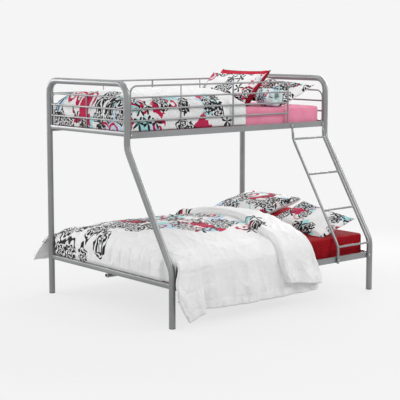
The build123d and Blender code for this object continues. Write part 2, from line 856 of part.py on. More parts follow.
def crown(front, rear, edge, top):
    """Places over the top of a duvet, from its front edge to its rear edge."""
    return [(front + (rear - front) * across_share, edge + (top - edge) * height_share)
            for across_share, height_share in zip(crown_places_shares, crown_heights_shares)]


lower_top = sheet_top(lower_bed)
lower_side = rail_face_offset + weld_gap + bolt_head_height
lower_front_in = front_low_y - lower_side - lower_duvet_front_clearance
lower_rear_in = rear_y + lower_side + lower_duvet_rear_clearance
lower_shoulder = lower_top - mattress_edge
lower_duvet_knee = lower_side_rail_base + lower_duvet_knee_rise
lower_duvet_rear_hem = lower_side_rail_base - lower_duvet_rear_hem_drop
lower_duvet_length = frame_length - lower_duvet_stop
lower_front_edge = lower_bed[0] - sheet_offset - soft_gap
lower_rear_edge = lower_bed[1] + sheet_offset + soft_gap


def lower_section(hem, wave, edge_share, crown_share, raised):
    """Places round the lower duvet: front drop, crown, rear drop and back."""
    cloth = lower_duvet_cloth
    fold = (1 + wave) * lower_duvet_wave
    edge = lower_top + edge_share * lower_duvet_edge_loft + raised
    top = lower_top + crown_share * lower_duvet_loft + raised
    front = lower_front_in - cloth
    rear = lower_rear_in + cloth
    flare = lower_duvet_flare + fold
    front_out = [(front - flare, hem), (front - fold, lower_duvet_knee), (front, lower_shoulder),
                 (lower_front_edge, edge)]
    rear_out = [(lower_rear_edge, edge), (rear, lower_shoulder), (rear + fold / 2, lower_duvet_knee),
                (rear + fold / 2 + lower_duvet_rear_flare, lower_duvet_rear_hem)]
    rear_in = [(y - cloth, z) for y, z in reversed(rear_out[1:])]
    front_in = [(y + cloth, z) for y, z in reversed(front_out[:3])]
    under = [(lower_rear_edge - mattress_edge, lower_top), (lower_front_edge + mattress_edge, lower_top)]
    return (front_out + crown(lower_front_edge, lower_rear_edge, edge, top) + rear_out
            + rear_in + under + front_in)


# Share of the length, share of the skew, hem height as a share of the drop,
# fold, edge and crown shares of each section, and the share of the band's rise
lower_station_shares = (
    (0.0, 0.0, 0.25, 0.3, 0.1, 0.2, 0.0),
    (0.055, 0.0, -0.35, 0.9, 0.7, 0.72, 0.0),
    (0.11, 0.05, 0.0, 0.2, 0.9, 0.95, 0.0),
    (0.165, 0.1, 0.18, -1.0, 0.9, 1.0, 0.0),
    (0.23, 0.15, 0.1, 0.7, 1.0, 1.08, 0.0),
    (0.30, 0.22, 0.05, 1.0, 1.05, 1.12, 0.0),
    (0.37, 0.3, 0.0, -0.6, 1.0, 1.12, 0.0),
    (0.44, 0.4, 0.05, 0.5, 1.0, 1.1, 0.0),
    (0.51, 0.5, 0.0, 0.9, 1.0, 1.08, 0.0),
    (0.58, 0.65, 0.0, -0.5, 1.0, 1.04, 0.0),
    (0.655, 0.8, -0.02, 0.1, 1.0, 1.02, 0.0),
    (0.665, 0.82, -0.02, 0.6, 1.0, 1.02, 1.0),
    (0.74, 0.88, -0.03, 1.0, 1.0, 1.04, 1.1),
    (0.82, 0.93, 0.0, -0.3, 0.95, 1.0, 1.0),
    (0.9, 0.97, 0.1, 0.6, 0.9, 0.96, 1.0),
    (1.0, 1.0, 0.45, 0.2, 0.6, 0.8, 0.6),
)


def lower_duvet():
    """Lower duvet over the sheet, its sides hanging outside the side rails."""
    drop = lower_duvet_knee - lower_duvet_hem
    stations = []
    for along, turn, hem, wave, edge, top, rise in lower_station_shares:
        x = lower_duvet_foot_x + along * lower_duvet_length
        places = lower_section(lower_duvet_hem + hem * drop / 2, wave, edge, top,
                               rise * fold_band_rise)
        stations.append((x, turn * skew, places))
    cloth = drape(stations)
    cloth = cloth - beyond(post_x - lower_duvet_head_gap)
    pad = foot_pad(lower_bed, lower_end_rail_base, foot_pad_front_gap)
    return cloth + pad + front_foot_flap() + rear_foot_flap()


lower_duvet_foot_x = -post_x + tube_radius + weld_gap + soft_gap + mattress_edge / 10


def beyond(x):
    """Everything on the head side of a place, to cut a duvet before the pillows."""
    return block((x, 2 * front_low_y, 0), (2 * post_x, 2 * rear_y, arch_height))


def foot_pad(bed, rail_base, front_gap):
    """Part of a duvet that is tucked down between mattress and end rail."""
    low = rail_base + end_rail_height + soft_gap
    high = bed[2] + bed[3] + sheet_offset + soft_gap
    outer_x = -post_x + end_rail_width / 2 + soft_gap
    inner_x = mattress_foot_x - sheet_offset - soft_gap
    front = bed[0] + front_gap
    rear = bed[1] - foot_pad_side_gap
    body_x = inner_x + mattress_edge
    pad = block((outer_x, front, low), (inner_x, rear, high))
    return pad + block((outer_x, front, high), (body_x, rear, high + mattress_edge))


def flap(places_near, places_far, near_x, far_x):
    """Corner of the cloth that hangs past a post, between two upright lines."""
    return skin([[(near_x, y, z) for y, z in places_near], [(far_x, y, z) for y, z in places_far]])


def front_foot_flap():
    """Short corner in front of the foot leg."""
    cloth = lower_duvet_cloth
    face = lower_front_in - cloth
    low = lower_duvet_hem + (lower_duvet_knee - lower_duvet_hem) / 2
    near = [(face, low), (face, lower_shoulder - cloth), (face + cloth, lower_shoulder - cloth),
            (face + cloth, low)]
    far = [(face, lower_duvet_knee - cloth), (face, lower_duvet_knee + cloth),
           (face + cloth / 2, lower_duvet_knee + cloth), (face + cloth / 2, lower_duvet_knee - cloth)]
    start = lower_duvet_foot_x + cloth
    return flap(near, far, start, lower_duvet_foot_x - foot_flap_front_reach)


def rear_foot_flap():
    """Corner that flares out behind the rear foot post."""
    cloth = lower_duvet_cloth
    face = lower_rear_in
    near = [(face, lower_duvet_rear_hem + cloth), (face, lower_shoulder - cloth),
            (face + cloth, lower_shoulder - cloth), (face + cloth, lower_duvet_rear_hem + cloth)]
    tip = face + foot_flap_flare
    far = [(tip, lower_duvet_rear_hem), (tip, lower_duvet_knee), (tip + cloth / 2, lower_duvet_knee),
           (tip + cloth / 2, lower_duvet_rear_hem)]
    start = lower_duvet_foot_x + cloth
    return flap(near, far, start, lower_duvet_foot_x - foot_flap_rear_reach)


upper_top = sheet_top(upper_bed)
strut_reach = guard_radius + weld_gap + strut_diameter
upper_front_in = upper_bed[0] - sheet_offset - soft_gap
upper_rear_in = upper_bed[1] + sheet_offset + soft_gap
upper_front_out = front_top_y + strut_reach + soft_gap
upper_rear_out = rear_y - strut_reach - soft_gap
upper_shoulder = upper_top - mattress_crown - mattress_edge
upper_duvet_hem = upper_side_rail_base + upper_duvet_hem_rise
upper_duvet_length = frame_length - upper_duvet_stop


def upper_section(edge_share, crown_share):
    """Places round the upper duvet, tucked between mattress and guards."""
    edge = upper_top + edge_share * upper_duvet_edge_loft
    top = upper_top + crown_share * upper_duvet_loft
    inset = mattress_edge
    outer = [(upper_front_out, upper_duvet_hem), (upper_front_out, upper_shoulder),
             (upper_front_in + inset, edge)]
    outer += crown(upper_front_in + inset, upper_rear_in - inset, edge, top)
    outer += [(upper_rear_in - inset, edge), (upper_rear_out, upper_shoulder),
              (upper_rear_out, upper_duvet_hem)]
    inner = [(upper_rear_in, upper_duvet_hem), (upper_rear_in, upper_shoulder),
             (upper_rear_in - inset, upper_top), (upper_front_in + inset, upper_top),
             (upper_front_in, upper_shoulder), (upper_front_in, upper_duvet_hem)]
    return outer + inner


# Share of the length, of the skew, of the edge's loft and of the crown
upper_station_shares = (
    (0.0, 0.0, 0.7, 0.5),
    (0.06, 0.0, 1.2, 0.92),
    (0.25, 0.1, 1.35, 1.0),
    (0.5, 0.35, 1.2, 1.05),
    (0.72, 0.7, 1.0, 1.0),
    (0.92, 0.95, 0.85, 0.95),
    (1.0, 1.0, 0.6, 0.75),
)
upper_duvet_foot_x = mattress_foot_x - sheet_offset - soft_gap


def upper_duvet():
    """Upper duvet, its sides pushed down inside the guards."""
    stations = [(upper_duvet_foot_x + along * upper_duvet_length, turn * skew,
                 upper_section(edge, top))
                for along, turn, edge, top in upper_station_shares]
    cloth = drape(stations) - beyond(post_x - upper_duvet_head_gap)
    return cloth + foot_pad(upper_bed, upper_end_rail_base, foot_pad_side_gap)


# Pillows: two-arc sections along the length, with drawn-in sides, thin at
# the seams. Local X is the depth towards the head, local Y the length.

pillow_places_shares = (-0.5, -0.45, -0.33, -0.12, 0.12, 0.33, 0.45, 0.5)
pillow_thickness_shares = (0.07, 0.42, 0.84, 1.0, 1.0, 0.84, 0.42, 0.07)
pillow_depth_shares = (0.98, 0.955, 0.94, 0.93, 0.93, 0.94, 0.955, 0.98)


def pillow(length, depth, thickness):
    """Filled pillow with a seam all round."""
    sections = []
    shares = zip(pillow_places_shares, pillow_thickness_shares, pillow_depth_shares)
    for place, thick, deep in shares:
        over = arc_places(depth * deep, thickness * thick / 2)
        ring = over + [(-x, -z) for x, z in over]
        sections.append([(x, length * place, z) for x, z in ring])
    return skin(sections)


def arc_places(width, rise):
    """Places along a shallow arc over a width, without its far end."""
    radius = ((width / 2) ** 2 + rise ** 2) / (2 * rise)
    reach = asin(width / 2 / radius)
    turns = [reach * (2 * i / pillow_facets - 1) for i in range(pillow_facets)]
    return [(radius * sin(turn), radius * cos(turn) - radius + rise) for turn in turns]


def laid(shape, x, y, level, turn, tilt):
    """Turn and tilt a pillow and set its lowest point on a level."""
    turned = Pos(x, y, 0) * Rot(0, 0, turn) * Rot(0, -tilt, 0) * shape
    return Pos(0, 0, level - turned.bounding_box().min.Z) * turned


def flat_half(depth, thickness):
    """Height of a pillow's flat middle facet over its seam."""
    width = depth * pillow_depth_shares[len(pillow_depth_shares) // 2]
    rise = thickness / 2
    radius = ((width / 2) ** 2 + rise ** 2) / (2 * rise)
    return radius * cos(asin(width / 2 / radius) / pillow_facets) - radius + rise


def bolster():
    """Short round cushion with rolled ends, its axis across the bed."""
    half = bolster_length / 2
    roll = rod((0, -half, 0), (0, half, 0), bolster_diameter, small_tube_sides)
    ends = roll.edges().group_by(Axis.Y)
    return chamfer(ends[0] + ends[-1], bolster_edge)


# The bedding nodes. Each pillow's middle lies so far from the head posts and
# at a share of its bunk's width; turns and tilts are in degrees.

parts["upper_mattress"] = mattress(upper_bed)
parts["lower_mattress"] = mattress(lower_bed)
parts["upper_fitted_sheet"] = fitted_sheet(upper_bed)
parts["lower_fitted_sheet"] = fitted_sheet(lower_bed)
parts["upper_duvet"] = upper_duvet()
parts["lower_duvet"] = lower_duvet()

lower_pillow_length = lower_pillow_length_share * lower_width
rear_y_share, rear_tilt = 0.19, 12
under = laid(pillow(lower_pillow_length, pillow_depth, under_pillow_thickness),
             post_x - rear_pillow_head_gap, centre_y + rear_y_share * lower_width, lower_top,
             0, rear_tilt)
parts["lower_under_pillow"] = under
lift = (flat_half(pillow_depth, under_pillow_thickness)
        + flat_half(pillow_depth, pillow_thickness) + soft_gap)
parts["lower_rear_pillow"] = (Pos(*under.center()) * Rot(0, -rear_tilt, 0) * Pos(0, 0, lift)
                              * pillow(lower_pillow_length, pillow_depth, pillow_thickness))
front_y_share = -0.24
parts["lower_front_sham"] = laid(pillow(lower_pillow_length, sham_depth, sham_thickness),
                                 post_x - front_sham_head_gap,
                                 centre_y + front_y_share * lower_width, lower_top, -5, 20)

upper_pillow_length = upper_pillow_length_share * upper_width
upper_mid_y = end_guard_mid_y
sham = pillow(upper_pillow_length, sham_depth, sham_thickness)
back_y_share, print_y_share, head_y_share, bolster_y_share = 0.0958, 0.0861, -0.1247, -0.3354
parts["upper_back_sham"] = laid(sham, post_x - back_sham_head_gap,
                                upper_mid_y + back_y_share * upper_width, upper_top, -3, 50)
parts["upper_print_sham"] = laid(pillow(upper_pillow_length, print_sham_depth, sham_thickness),
                                 post_x - print_sham_head_gap,
                                 upper_mid_y + print_y_share * upper_width, upper_top, 3, 42)
parts["upper_head_pillow"] = laid(sham, post_x - head_pillow_head_gap,
                                  upper_mid_y + head_y_share * upper_width, upper_top, -4, 26)
parts["upper_bolster"] = laid(bolster(), post_x - bolster_head_gap,
                              upper_mid_y + bolster_y_share * upper_width, upper_top, 0, 0)

os.makedirs("parts", exist_ok=True)
for name, shape in parts.items():
    export_step(shape, "parts/" + name + ".step")
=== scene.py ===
import bpy
import json
import math
import numpy as np
from mathutils import Matrix, Vector, noise
from types import SimpleNamespace


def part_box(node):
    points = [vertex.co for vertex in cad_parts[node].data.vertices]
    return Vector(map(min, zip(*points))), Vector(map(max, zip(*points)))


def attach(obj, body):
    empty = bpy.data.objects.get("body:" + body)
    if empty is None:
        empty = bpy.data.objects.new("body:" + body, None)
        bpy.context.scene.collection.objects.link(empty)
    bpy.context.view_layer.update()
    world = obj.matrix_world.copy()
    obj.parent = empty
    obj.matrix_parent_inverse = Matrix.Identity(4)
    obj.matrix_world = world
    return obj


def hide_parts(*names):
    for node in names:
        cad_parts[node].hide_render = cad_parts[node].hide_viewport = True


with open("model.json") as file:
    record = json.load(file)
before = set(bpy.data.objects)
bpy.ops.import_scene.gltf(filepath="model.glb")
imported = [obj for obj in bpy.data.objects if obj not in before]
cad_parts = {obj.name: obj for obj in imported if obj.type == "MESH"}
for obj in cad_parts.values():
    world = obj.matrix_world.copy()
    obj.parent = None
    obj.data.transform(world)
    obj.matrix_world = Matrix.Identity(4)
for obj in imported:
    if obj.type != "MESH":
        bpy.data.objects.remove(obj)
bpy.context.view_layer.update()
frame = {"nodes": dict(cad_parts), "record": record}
scene = bpy.context.scene
nodes = frame["nodes"]

MM = 0.001
FULL_TURN = 2 * math.pi


def aimed(name, data, place, look):
    """New object at a place, with its -Z side turned along a direction."""
    thing = bpy.data.objects.new(name, data)
    scene.collection.objects.link(thing)
    thing.location = place
    thing.rotation_mode = "QUATERNION"
    thing.rotation_quaternion = look.to_track_quat("-Z", "Y")
    return thing


# ---------------------------------------------------------------- camera
CAMERA_PLACE = (-5.646308, -6.578453, 1.880192)
CAMERA_AZIMUTH, CAMERA_PITCH = 0.699, 0.118

camera_data = bpy.data.cameras.new("camera")
camera_data.lens = 104.114
camera_data.sensor_width = 36.0
camera_data.shift_y = -0.05
camera_data.clip_start, camera_data.clip_end = 0.5, 60.0
level_share = math.cos(CAMERA_PITCH)
camera_look = Vector((math.sin(CAMERA_AZIMUTH) * level_share, math.cos(CAMERA_AZIMUTH) * level_share,
                      -math.sin(CAMERA_PITCH)))
scene.camera = aimed("camera", camera_data, CAMERA_PLACE, camera_look)
scene.view_settings.view_transform = "Standard"


# ---------------------------------------------------------------- node helpers
class Value:
    """A socket that sums can be written with; each sum adds one math node."""

    def __init__(self, web, socket):
        self.web, self.socket = web, socket

    def __add__(self, other):
        return self.web.math("ADD", self, other)

    def __radd__(self, other):
        return self.web.math("ADD", other, self)

    def __sub__(self, other):
        return self.web.math("SUBTRACT", self, other)

    def __rsub__(self, other):
        return self.web.math("SUBTRACT", other, self)

    def __mul__(self, other):
        return self.web.math("MULTIPLY", self, other)

    def __truediv__(self, other):
        return self.web.math("DIVIDE", self, other)

    def __pow__(self, other):
        return self.web.math("POWER", self, other)

    def __abs__(self):
        return self.web.math("ABSOLUTE", self)

    def __lt__(self, other):
        return self.web.math("LESS_THAN", self, other)

    def __gt__(self, other):
        return self.web.math("GREATER_THAN", self, other)


class Web:
    """The node tree of a material or world, with short ways to add and link nodes."""

    def __init__(self, owner, out_kind="ShaderNodeOutputMaterial"):
        owner.use_nodes = True
        self.owner, self.tree = owner, owner.node_tree
        self.tree.nodes.clear()
        self.out = self.tree.nodes.new(out_kind)

    def add(self, kind, inputs=None, **settings):
        node = self.tree.nodes.new(kind)
        for key, value in settings.items():
            setattr(node, key, value)
        for key, value in (inputs or {}).items():
            self.feed(node.inputs[key], value)
        return node

    def feed(self, socket, value):
        if isinstance(value, Value):
            value = value.socket
        if isinstance(value, bpy.types.NodeSocket):
            self.tree.links.new(value, socket)
        elif value is not None:
            socket.default_value = value

    def show(self, shader):
        self.feed(self.out.inputs[0], shader)

    def place(self):
        return self.add("ShaderNodeTexCoord").outputs["Object"]

    def cloth_place(self):
        return self.add("ShaderNodeUVMap", uv_map="cloth").outputs[0]

    def parts(self, vector):
        return [Value(self, part) for part in self.add("ShaderNodeSeparateXYZ", {0: vector}).outputs]

    def colour_parts(self, colour):
        return [Value(self, part) for part in self.add("ShaderNodeSeparateColor", {0: colour}).outputs]

    def math(self, how, a, b=None):
        return Value(self, self.add("ShaderNodeMath", {0: a, 1: b}, operation=how).outputs[0])

    def sine(self, a):
        return self.math("SINE", a)

    def cosine(self, a):
        return self.math("COSINE", a)

    def larger(self, a, b):
        return self.math("MAXIMUM", a, b)

    def vector(self, how, a, b):
        second = "Scale" if how == "SCALE" else 1
        return self.add("ShaderNodeVectorMath", {0: a, second: b}, operation=how).outputs[0]

    def length(self, a):
        return Value(self, self.add("ShaderNodeVectorMath", {0: a}, operation="LENGTH").outputs["Value"])

    def mix(self, share, a, b):
        return self.add("ShaderNodeMix", {0: share, 6: a, 7: b}, data_type="RGBA").outputs[2]

    def mix_shaders(self, share, a, b):
        return self.add("ShaderNodeMixShader", {0: share, 1: a, 2: b}).outputs[0]

    def step(self, value, low, high):
        """Smooth step of a value from 0 at low to 1 at high."""
        inputs = {"Value": value, "From Min": low, "From Max": high, "To Min": 0.0, "To Max": 1.0}
        return Value(self, self.add("ShaderNodeMapRange", inputs, interpolation_type="SMOOTHSTEP").outputs[0])

    def noise(self, where, scale, detail=3.0, rough=0.5, dims="3D", output=0):
        inputs = {"Vector": where, "Scale": scale, "Detail": detail, "Roughness": rough}
        return Value(self, self.add("ShaderNodeTexNoise", inputs, noise_dimensions=dims).outputs[output])

    def bump(self, height, strength, distance, under=None):
        inputs = {"Strength": strength, "Distance": distance, "Height": height, "Normal": under}
        return self.add("ShaderNodeBump", inputs).outputs[0]

    def seen(self):
        """1 for rays that come from the camera, a mirror or through glass."""
        path = self.add("ShaderNodeLightPath").outputs
        return self.larger(path["Is Camera Ray"], self.larger(path["Is Glossy Ray"], path["Is Transmission Ray"]))

    def shader(self, **inputs):
        """Principled shader as the tree's result; returns the material."""
        named = {key.replace("_", " "): value for key, value in inputs.items()}
        self.show(self.add("ShaderNodeBsdfPrincipled", named).outputs[0])
        return self.owner


def material_web(name):
    return Web(bpy.data.materials.new(name))


def rgb(red, green, blue):
    """Linear colour from sRGB numbers 0 to 255."""
    return tuple(((v / 255) ** 2.2) for v in (red, green, blue)) + (1.0,)


# ---------------------------------------------------------------- hard materials
def paint_material():
    """Silver paint with a cloudy tone, fine flakes and a slightly uneven skin."""
    web = material_web("silver_paint")
    place = web.place()
    cloudy = web.noise(place, scale=3.0, detail=4.0)
    flakes = web.step(web.noise(place, scale=1400.0, detail=1.0), 0.62, 0.72)
    skin = web.noise(place, scale=260.0, detail=2.0)
    tone = web.mix(web.step(cloudy, 0.35, 0.65), rgb(126, 127, 128), rgb(136, 137, 138))
    tone = web.mix(flakes * 0.35, tone, rgb(160, 162, 164))
    return web.shader(Base_Color=tone, Metallic=0.45, Roughness=0.34 + cloudy * 0.14,
                      Normal=web.bump(skin, strength=0.08, distance=0.0006),
                      Coat_Weight=0.15, Coat_Roughness=0.25)


def grained_material(name, scale, detail, dark, light, metallic, rough, strength, distance):
    """Steel or plastic with a fine grain in its tone, gloss and surface."""
    web = material_web(name)
    grain = web.noise(web.place(), scale, detail)
    return web.shader(Base_Color=web.mix(grain, dark, light), Metallic=metallic, Roughness=rough + grain * 0.2,
                      Normal=web.bump(grain, strength, distance))


# ---------------------------------------------------------------- cloth materials
def cloth_finish(web, tone, weave_pitch=0.0011, crease_depth=0.0035, shine=1.0):
    """Woven cotton: thread bump, soft creases, fibre colour and sheen."""
    place = web.place()
    along, across = web.parts(web.cloth_place())[:2]
    threads = FULL_TURN / weave_pitch
    weave = web.sine(along * threads) * web.sine(across * threads)
    fibres = web.noise(place, scale=1100.0, detail=2.0)
    moved = web.vector("ADD", place, web.noise(place, scale=7.0, detail=2.0, output="Color"))
    soft = web.noise(moved, scale=16.0, detail=4.0, rough=0.55)
    ridge = web.larger(1.0 - abs((soft - 0.5) * 5.0), 0.0) ** 3.0
    normal = web.bump(ridge, strength=0.5, distance=crease_depth)
    normal = web.bump(web.noise(place, scale=55.0), strength=0.22, distance=0.002, under=normal)
    normal = web.bump(weave + fibres, strength=0.2, distance=0.00025, under=normal)
    tone = web.mix(web.step(fibres, 0.3, 0.75) * 0.05, tone, rgb(120, 120, 126))
    return web.shader(Base_Color=tone, Roughness=0.86, Sheen_Weight=0.05 * shine, Sheen_Roughness=0.45,
                      Normal=normal, Specular_IOR_Level=0.25 * shine)


def plain_cloth(name, tone, dark, weave_pitch=0.0011, shine=1.0):
    web = material_web(name)
    cloudy = web.noise(web.place(), scale=9.0, detail=4.0)
    return cloth_finish(web, web.mix(web.step(cloudy, 0.3, 0.8), tone, dark), weave_pitch, shine=shine)


def cells(web, spread, scale, drift, seed):
    """Scattered cells: from each cell's middle to the place, a random colour, and the middle."""
    offset = (seed, seed * 0.7, 0.0)
    shifted = web.vector("ADD", spread, offset)
    wave = web.noise(shifted, scale * 0.8, detail=2.0, dims="2D", output="Color")
    wave = web.vector("SUBTRACT", wave, (0.5, 0.5, 0.5))
    shifted = web.vector("ADD", shifted, web.vector("SCALE", wave, drift / scale))
    cell = web.add("ShaderNodeTexVoronoi", {"Vector": shifted, "Scale": scale, "Randomness": 0.75},
                   voronoi_dimensions="2D").outputs
    away = web.vector("SCALE", web.vector("SUBTRACT", shifted, cell["Position"]), scale)
    return away, cell["Color"], web.vector("SUBTRACT", cell["Position"], offset)


def polar(web, away, chance):
    """Radius and randomly turned angle of a place in its cell, and a random number."""
    x, y = web.parts(away)[:2]
    turn, often = web.colour_parts(chance)[:2]
    return web.length(away), web.math("ARCTAN2", y, x) + turn * FULL_TURN, often


INK, ROSE, AQUA, SKY = rgb(28, 26, 30), rgb(186, 22, 74), rgb(152, 212, 214), rgb(188, 212, 232)
RIM = 0.004     # width of the print's soft rim
PLAIN_FOOT = -0.09     # the print ends here on the face of the foot, in metres along the cloth


def print_cloth(name, ground, seed, scale=1.0, field=None, foot=-1.0, cover=0.5, rosettes=0.52, lean=0.0,
                leafy=0.62, crease_depth=0.0035):
    """Cotton with clusters of line-drawn rosettes, scrolls, washes and leaves."""
    web = material_web(name)
    spread = web.cloth_place()

    def choose(place):
        """Whether the print covers a place, three numbers that pick its motifs, and a broad noise."""
        where = web.vector("ADD", place, (seed * 3.1, seed * 1.7, 0.0))
        broad = web.noise(where, 3.4 * scale, detail=1.0, dims="2D")
        picks = web.colour_parts(web.noise(where, 4.2 * scale, detail=0.0, dims="2D", output="Color"))
        along, across = web.parts(place)[:2]
        if lean:
            # black rosettes gather at the foot end
            foot_end = web.step(along, 0.42, 0.30)
            picks = [pick - foot_end * share for pick, share in zip(picks, (lean, lean, lean * 0.6))]
        if field is None:
            return web.step(broad, 0.60 - cover * 0.2, 0.61 - cover * 0.2), picks, broad
        # a band that starts at one place across and slants along the cloth
        along_end, start, slant, end = field
        wander = (broad - 0.5) * 0.5
        rough_along, rough_across = along + wander, across + wander
        region = web.step(rough_across + along * slant, start, start + RIM) * web.step(rough_across, end + RIM, end)
        region = web.larger(region, web.step(rough_along, foot + RIM, foot))
        region = region * web.step(rough_along, along_end + RIM, along_end)
        if lean:
            region = region * web.step(along, PLAIN_FOOT, PLAIN_FOOT + RIM)
        return region, picks, broad

    def motif(size, drift, own_seed):
        """Radius, angle and a random number in scattered cells; print and pick at the cell's middle."""
        away, chance, middle = cells(web, spread, size * scale, drift, own_seed)
        here, picks = choose(middle)[:2]
        return *polar(web, away, chance), here, picks[0]

    # aqua and sky washes and rose patches with a ragged rim
    region, picks, broad = choose(spread)
    ragged = web.noise(web.vector("ADD", spread, (seed, 0, 0)), 13.0 * scale, rough=0.6, dims="2D")
    wash = web.step(picks[2] + ragged * 0.35, 0.725, 0.735) * region
    tone = web.mix(wash * 0.92, ground, web.mix(web.step(broad, 0.5, 0.53), AQUA, SKY))
    patch = web.step(picks[1] + ragged * 0.4, 0.885, 0.89)
    tone = web.mix(patch * region, tone, ROSE)
    # rose scrolls: one thick turning line in each cell
    radius, angle, often, here, kind = motif(size=6.4, drift=0.25, own_seed=seed + 2.0)
    turned = web.math("FRACT", angle / FULL_TURN + radius * 3.2)
    scroll = (turned < 0.42) * (radius < 0.44 + web.cosine(angle * 3.0) * 0.09)
    keep = (often > 0.15) * web.step(kind, 0.50, 0.51)
    tone = web.mix(scroll * keep * here, tone, ROSE)
    # black rosettes of wavy rings
    radius, angle, often, here, kind = motif(size=8.2, drift=0.3, own_seed=seed)
    petal = web.sine(angle * 5.0 + radius * 13.0)
    rings = web.sine(radius * 30.0 + petal * 1.7)
    keep = (often > 0.06) * web.step(kind, rosettes, rosettes - 0.01)
    bloom = (radius < 0.52 + web.cosine(angle * 7.0) * 0.05) * keep * here
    tone = web.mix(bloom * 0.9, tone, ground)
    tone = web.mix(bloom * web.step(rings, -0.4, -0.15), tone, INK)
    # black sprays of pointed leaves
    radius, angle, often, here, _ = motif(size=9.0, drift=0.4, own_seed=seed + 9.1)
    leaf = abs(web.cosine(angle * 2.5)) ** 2.2 * 0.54
    leaves = (radius < leaf) * (often > leafy)
    tone = web.mix(leaves * here, tone, INK)
    return cloth_finish(web, tone, crease_depth=crease_depth)


WHITE = rgb(232, 232, 232)
material_of = {
    "silver_paint": paint_material(),
    "bolt_steel": grained_material("bolt_steel", 900.0, 3.0, rgb(168, 170, 174), rgb(205, 206, 208), metallic=0.9,
                                   rough=0.22, strength=0.1, distance=0.0004),
    "dark_plastic": grained_material("dark_plastic", 700.0, 4.0, rgb(38, 38, 40), rgb(62, 62, 64), metallic=0.0,
                                     rough=0.45, strength=0.25, distance=0.0005),
    "mattress_cover": plain_cloth("mattress_cover", rgb(222, 220, 214), rgb(205, 203, 198), weave_pitch=0.002),
    "upper_sheet_cotton": plain_cloth("upper_sheet_cotton", rgb(228, 140, 166), rgb(218, 124, 152)),
    "lower_sheet_cotton": plain_cloth("lower_sheet_cotton", rgb(146, 10, 26), rgb(120, 5, 18), shine=0.3),
    "red_sham_cotton": plain_cloth("red_sham_cotton", rgb(196, 42, 66), rgb(182, 30, 54), shine=0.4),
    "upper_duvet_print": print_cloth("upper_duvet_print", WHITE, 3.0, field=(0.86, -0.4, 0.0, 0.28), foot=0.12,
                                     crease_depth=0.008),
    "lower_duvet_print": print_cloth("lower_duvet_print", WHITE, 5.0, scale=0.85, field=(1.10, 1.24, 0.74, 1.88),
                                     lean=0.5, crease_depth=0.004),
    "pillow_print": print_cloth("pillow_print", WHITE, 1.0, scale=1.05, cover=1.2, rosettes=0.56, leafy=0.5),
    "sham_print": print_cloth("sham_print", WHITE, 7.0, scale=1.2, cover=1.2, rosettes=0.58, leafy=0.35),
    "bolster_print": print_cloth("bolster_print", rgb(206, 228, 228), 12.0, scale=1.8, cover=0.3),
}
plain_white = plain_cloth("plain_white_cotton", WHITE, rgb(222, 222, 222))
piping_dark = plain_cloth("piping_dark", rgb(48, 40, 48), rgb(36, 30, 36))


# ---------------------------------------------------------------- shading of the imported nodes
def shading_tree():
    """Merges split corners and shades by angle, so that flat-sided tubes look round."""
    tree = bpy.data.node_groups.new("round_shading", "GeometryNodeTree")
    for way in ("INPUT", "OUTPUT"):
        tree.interface.new_socket("Geometry", in_out=way, socket_type="NodeSocketGeometry")
    new, link = tree.nodes.new, tree.links.new
    clear, merge = new("GeometryNodeRemoveAttribute"), new("GeometryNodeMergeByDistance")
    clear.inputs["Name"].default_value = "custom_normal"
    merge.inputs["Distance"].default_value = 0.00001
    angle, less = new("GeometryNodeInputMeshEdgeAngle"), new("FunctionNodeCompare")
    less.data_type, less.operation = "FLOAT", "LESS_THAN"
    less.inputs[1].default_value = math.radians(50)
    link(angle.outputs[0], less.inputs[0])
    faces, edges = new("GeometryNodeSetShadeSmooth"), new("GeometryNodeSetShadeSmooth")
    faces.domain, edges.domain = "FACE", "EDGE"
    faces.inputs["Shade Smooth"].default_value = True
    link(less.outputs[0], edges.inputs["Shade Smooth"])
    chain = (new("NodeGroupInput"), clear, merge, faces, edges, new("NodeGroupOutput"))
    for one, two in zip(chain, chain[1:]):
        link(one.outputs[0], two.inputs[0])
    return tree


rounding = shading_tree()
slot_of = {row["node"]: row["material_slot"] for row in frame["record"]["subparts"]}
for name, node in nodes.items():
    node.data.materials.clear()
    node.data.materials.append(material_of[slot_of[name]])
    # the lofted stiles have uneven facets that look speckled when they are shaded smooth
    if name not in ("ladder_left_stile", "ladder_right_stile"):
        node.modifiers.new("round_shading", "NODES").node_group = rounding


# ---------------------------------------------------------------- mesh helpers
def hermite(knots, values, where):
    """Smooth curve through values at knots, read at other places."""
    knots, values, where = np.asarray(knots, float), np.asarray(values, float), np.asarray(where, float)
    step = np.diff(knots)
    flat = values.reshape(len(knots), -1)
    rise = np.diff(flat, axis=0) / step[:, None]
    slope = np.empty_like(flat)
    slope[1:-1] = (rise[:-1] * step[1:, None] + rise[1:] * step[:-1, None]) / (step[:-1] + step[1:])[:, None]
    slope[0], slope[-1] = rise[0], rise[-1]
    index = np.clip(np.searchsorted(knots, where, side="right") - 1, 0, len(knots) - 2)
    width = step[index][:, None]
    t = ((where - knots[index]) / step[index])[:, None]
    a, b, da, db = flat[index], flat[index + 1], slope[index] * width, slope[index + 1] * width
    out = (a * (2 * t ** 3 - 3 * t ** 2 + 1) + da * (t ** 3 - 2 * t ** 2 + t)
           + b * (-2 * t ** 3 + 3 * t ** 2) + db * (t ** 3 - t ** 2))
    return out.reshape((len(where),) + values.shape[1:])


def run_of(points):
    """Distance along a line of points."""
    return np.r_[0, np.cumsum(np.linalg.norm(np.diff(points, axis=0), axis=1))]


def even(points, count, fine=600):
    """The smooth curve through points, at evenly spaced places."""
    points = np.asarray(points, float)
    knots = run_of(points)
    curve = hermite(knots, points, np.linspace(0, knots[-1], fine))
    run = run_of(curve)
    return np.stack([np.interp(np.linspace(0, run[-1], count), run, column) for column in curve.T], 1)


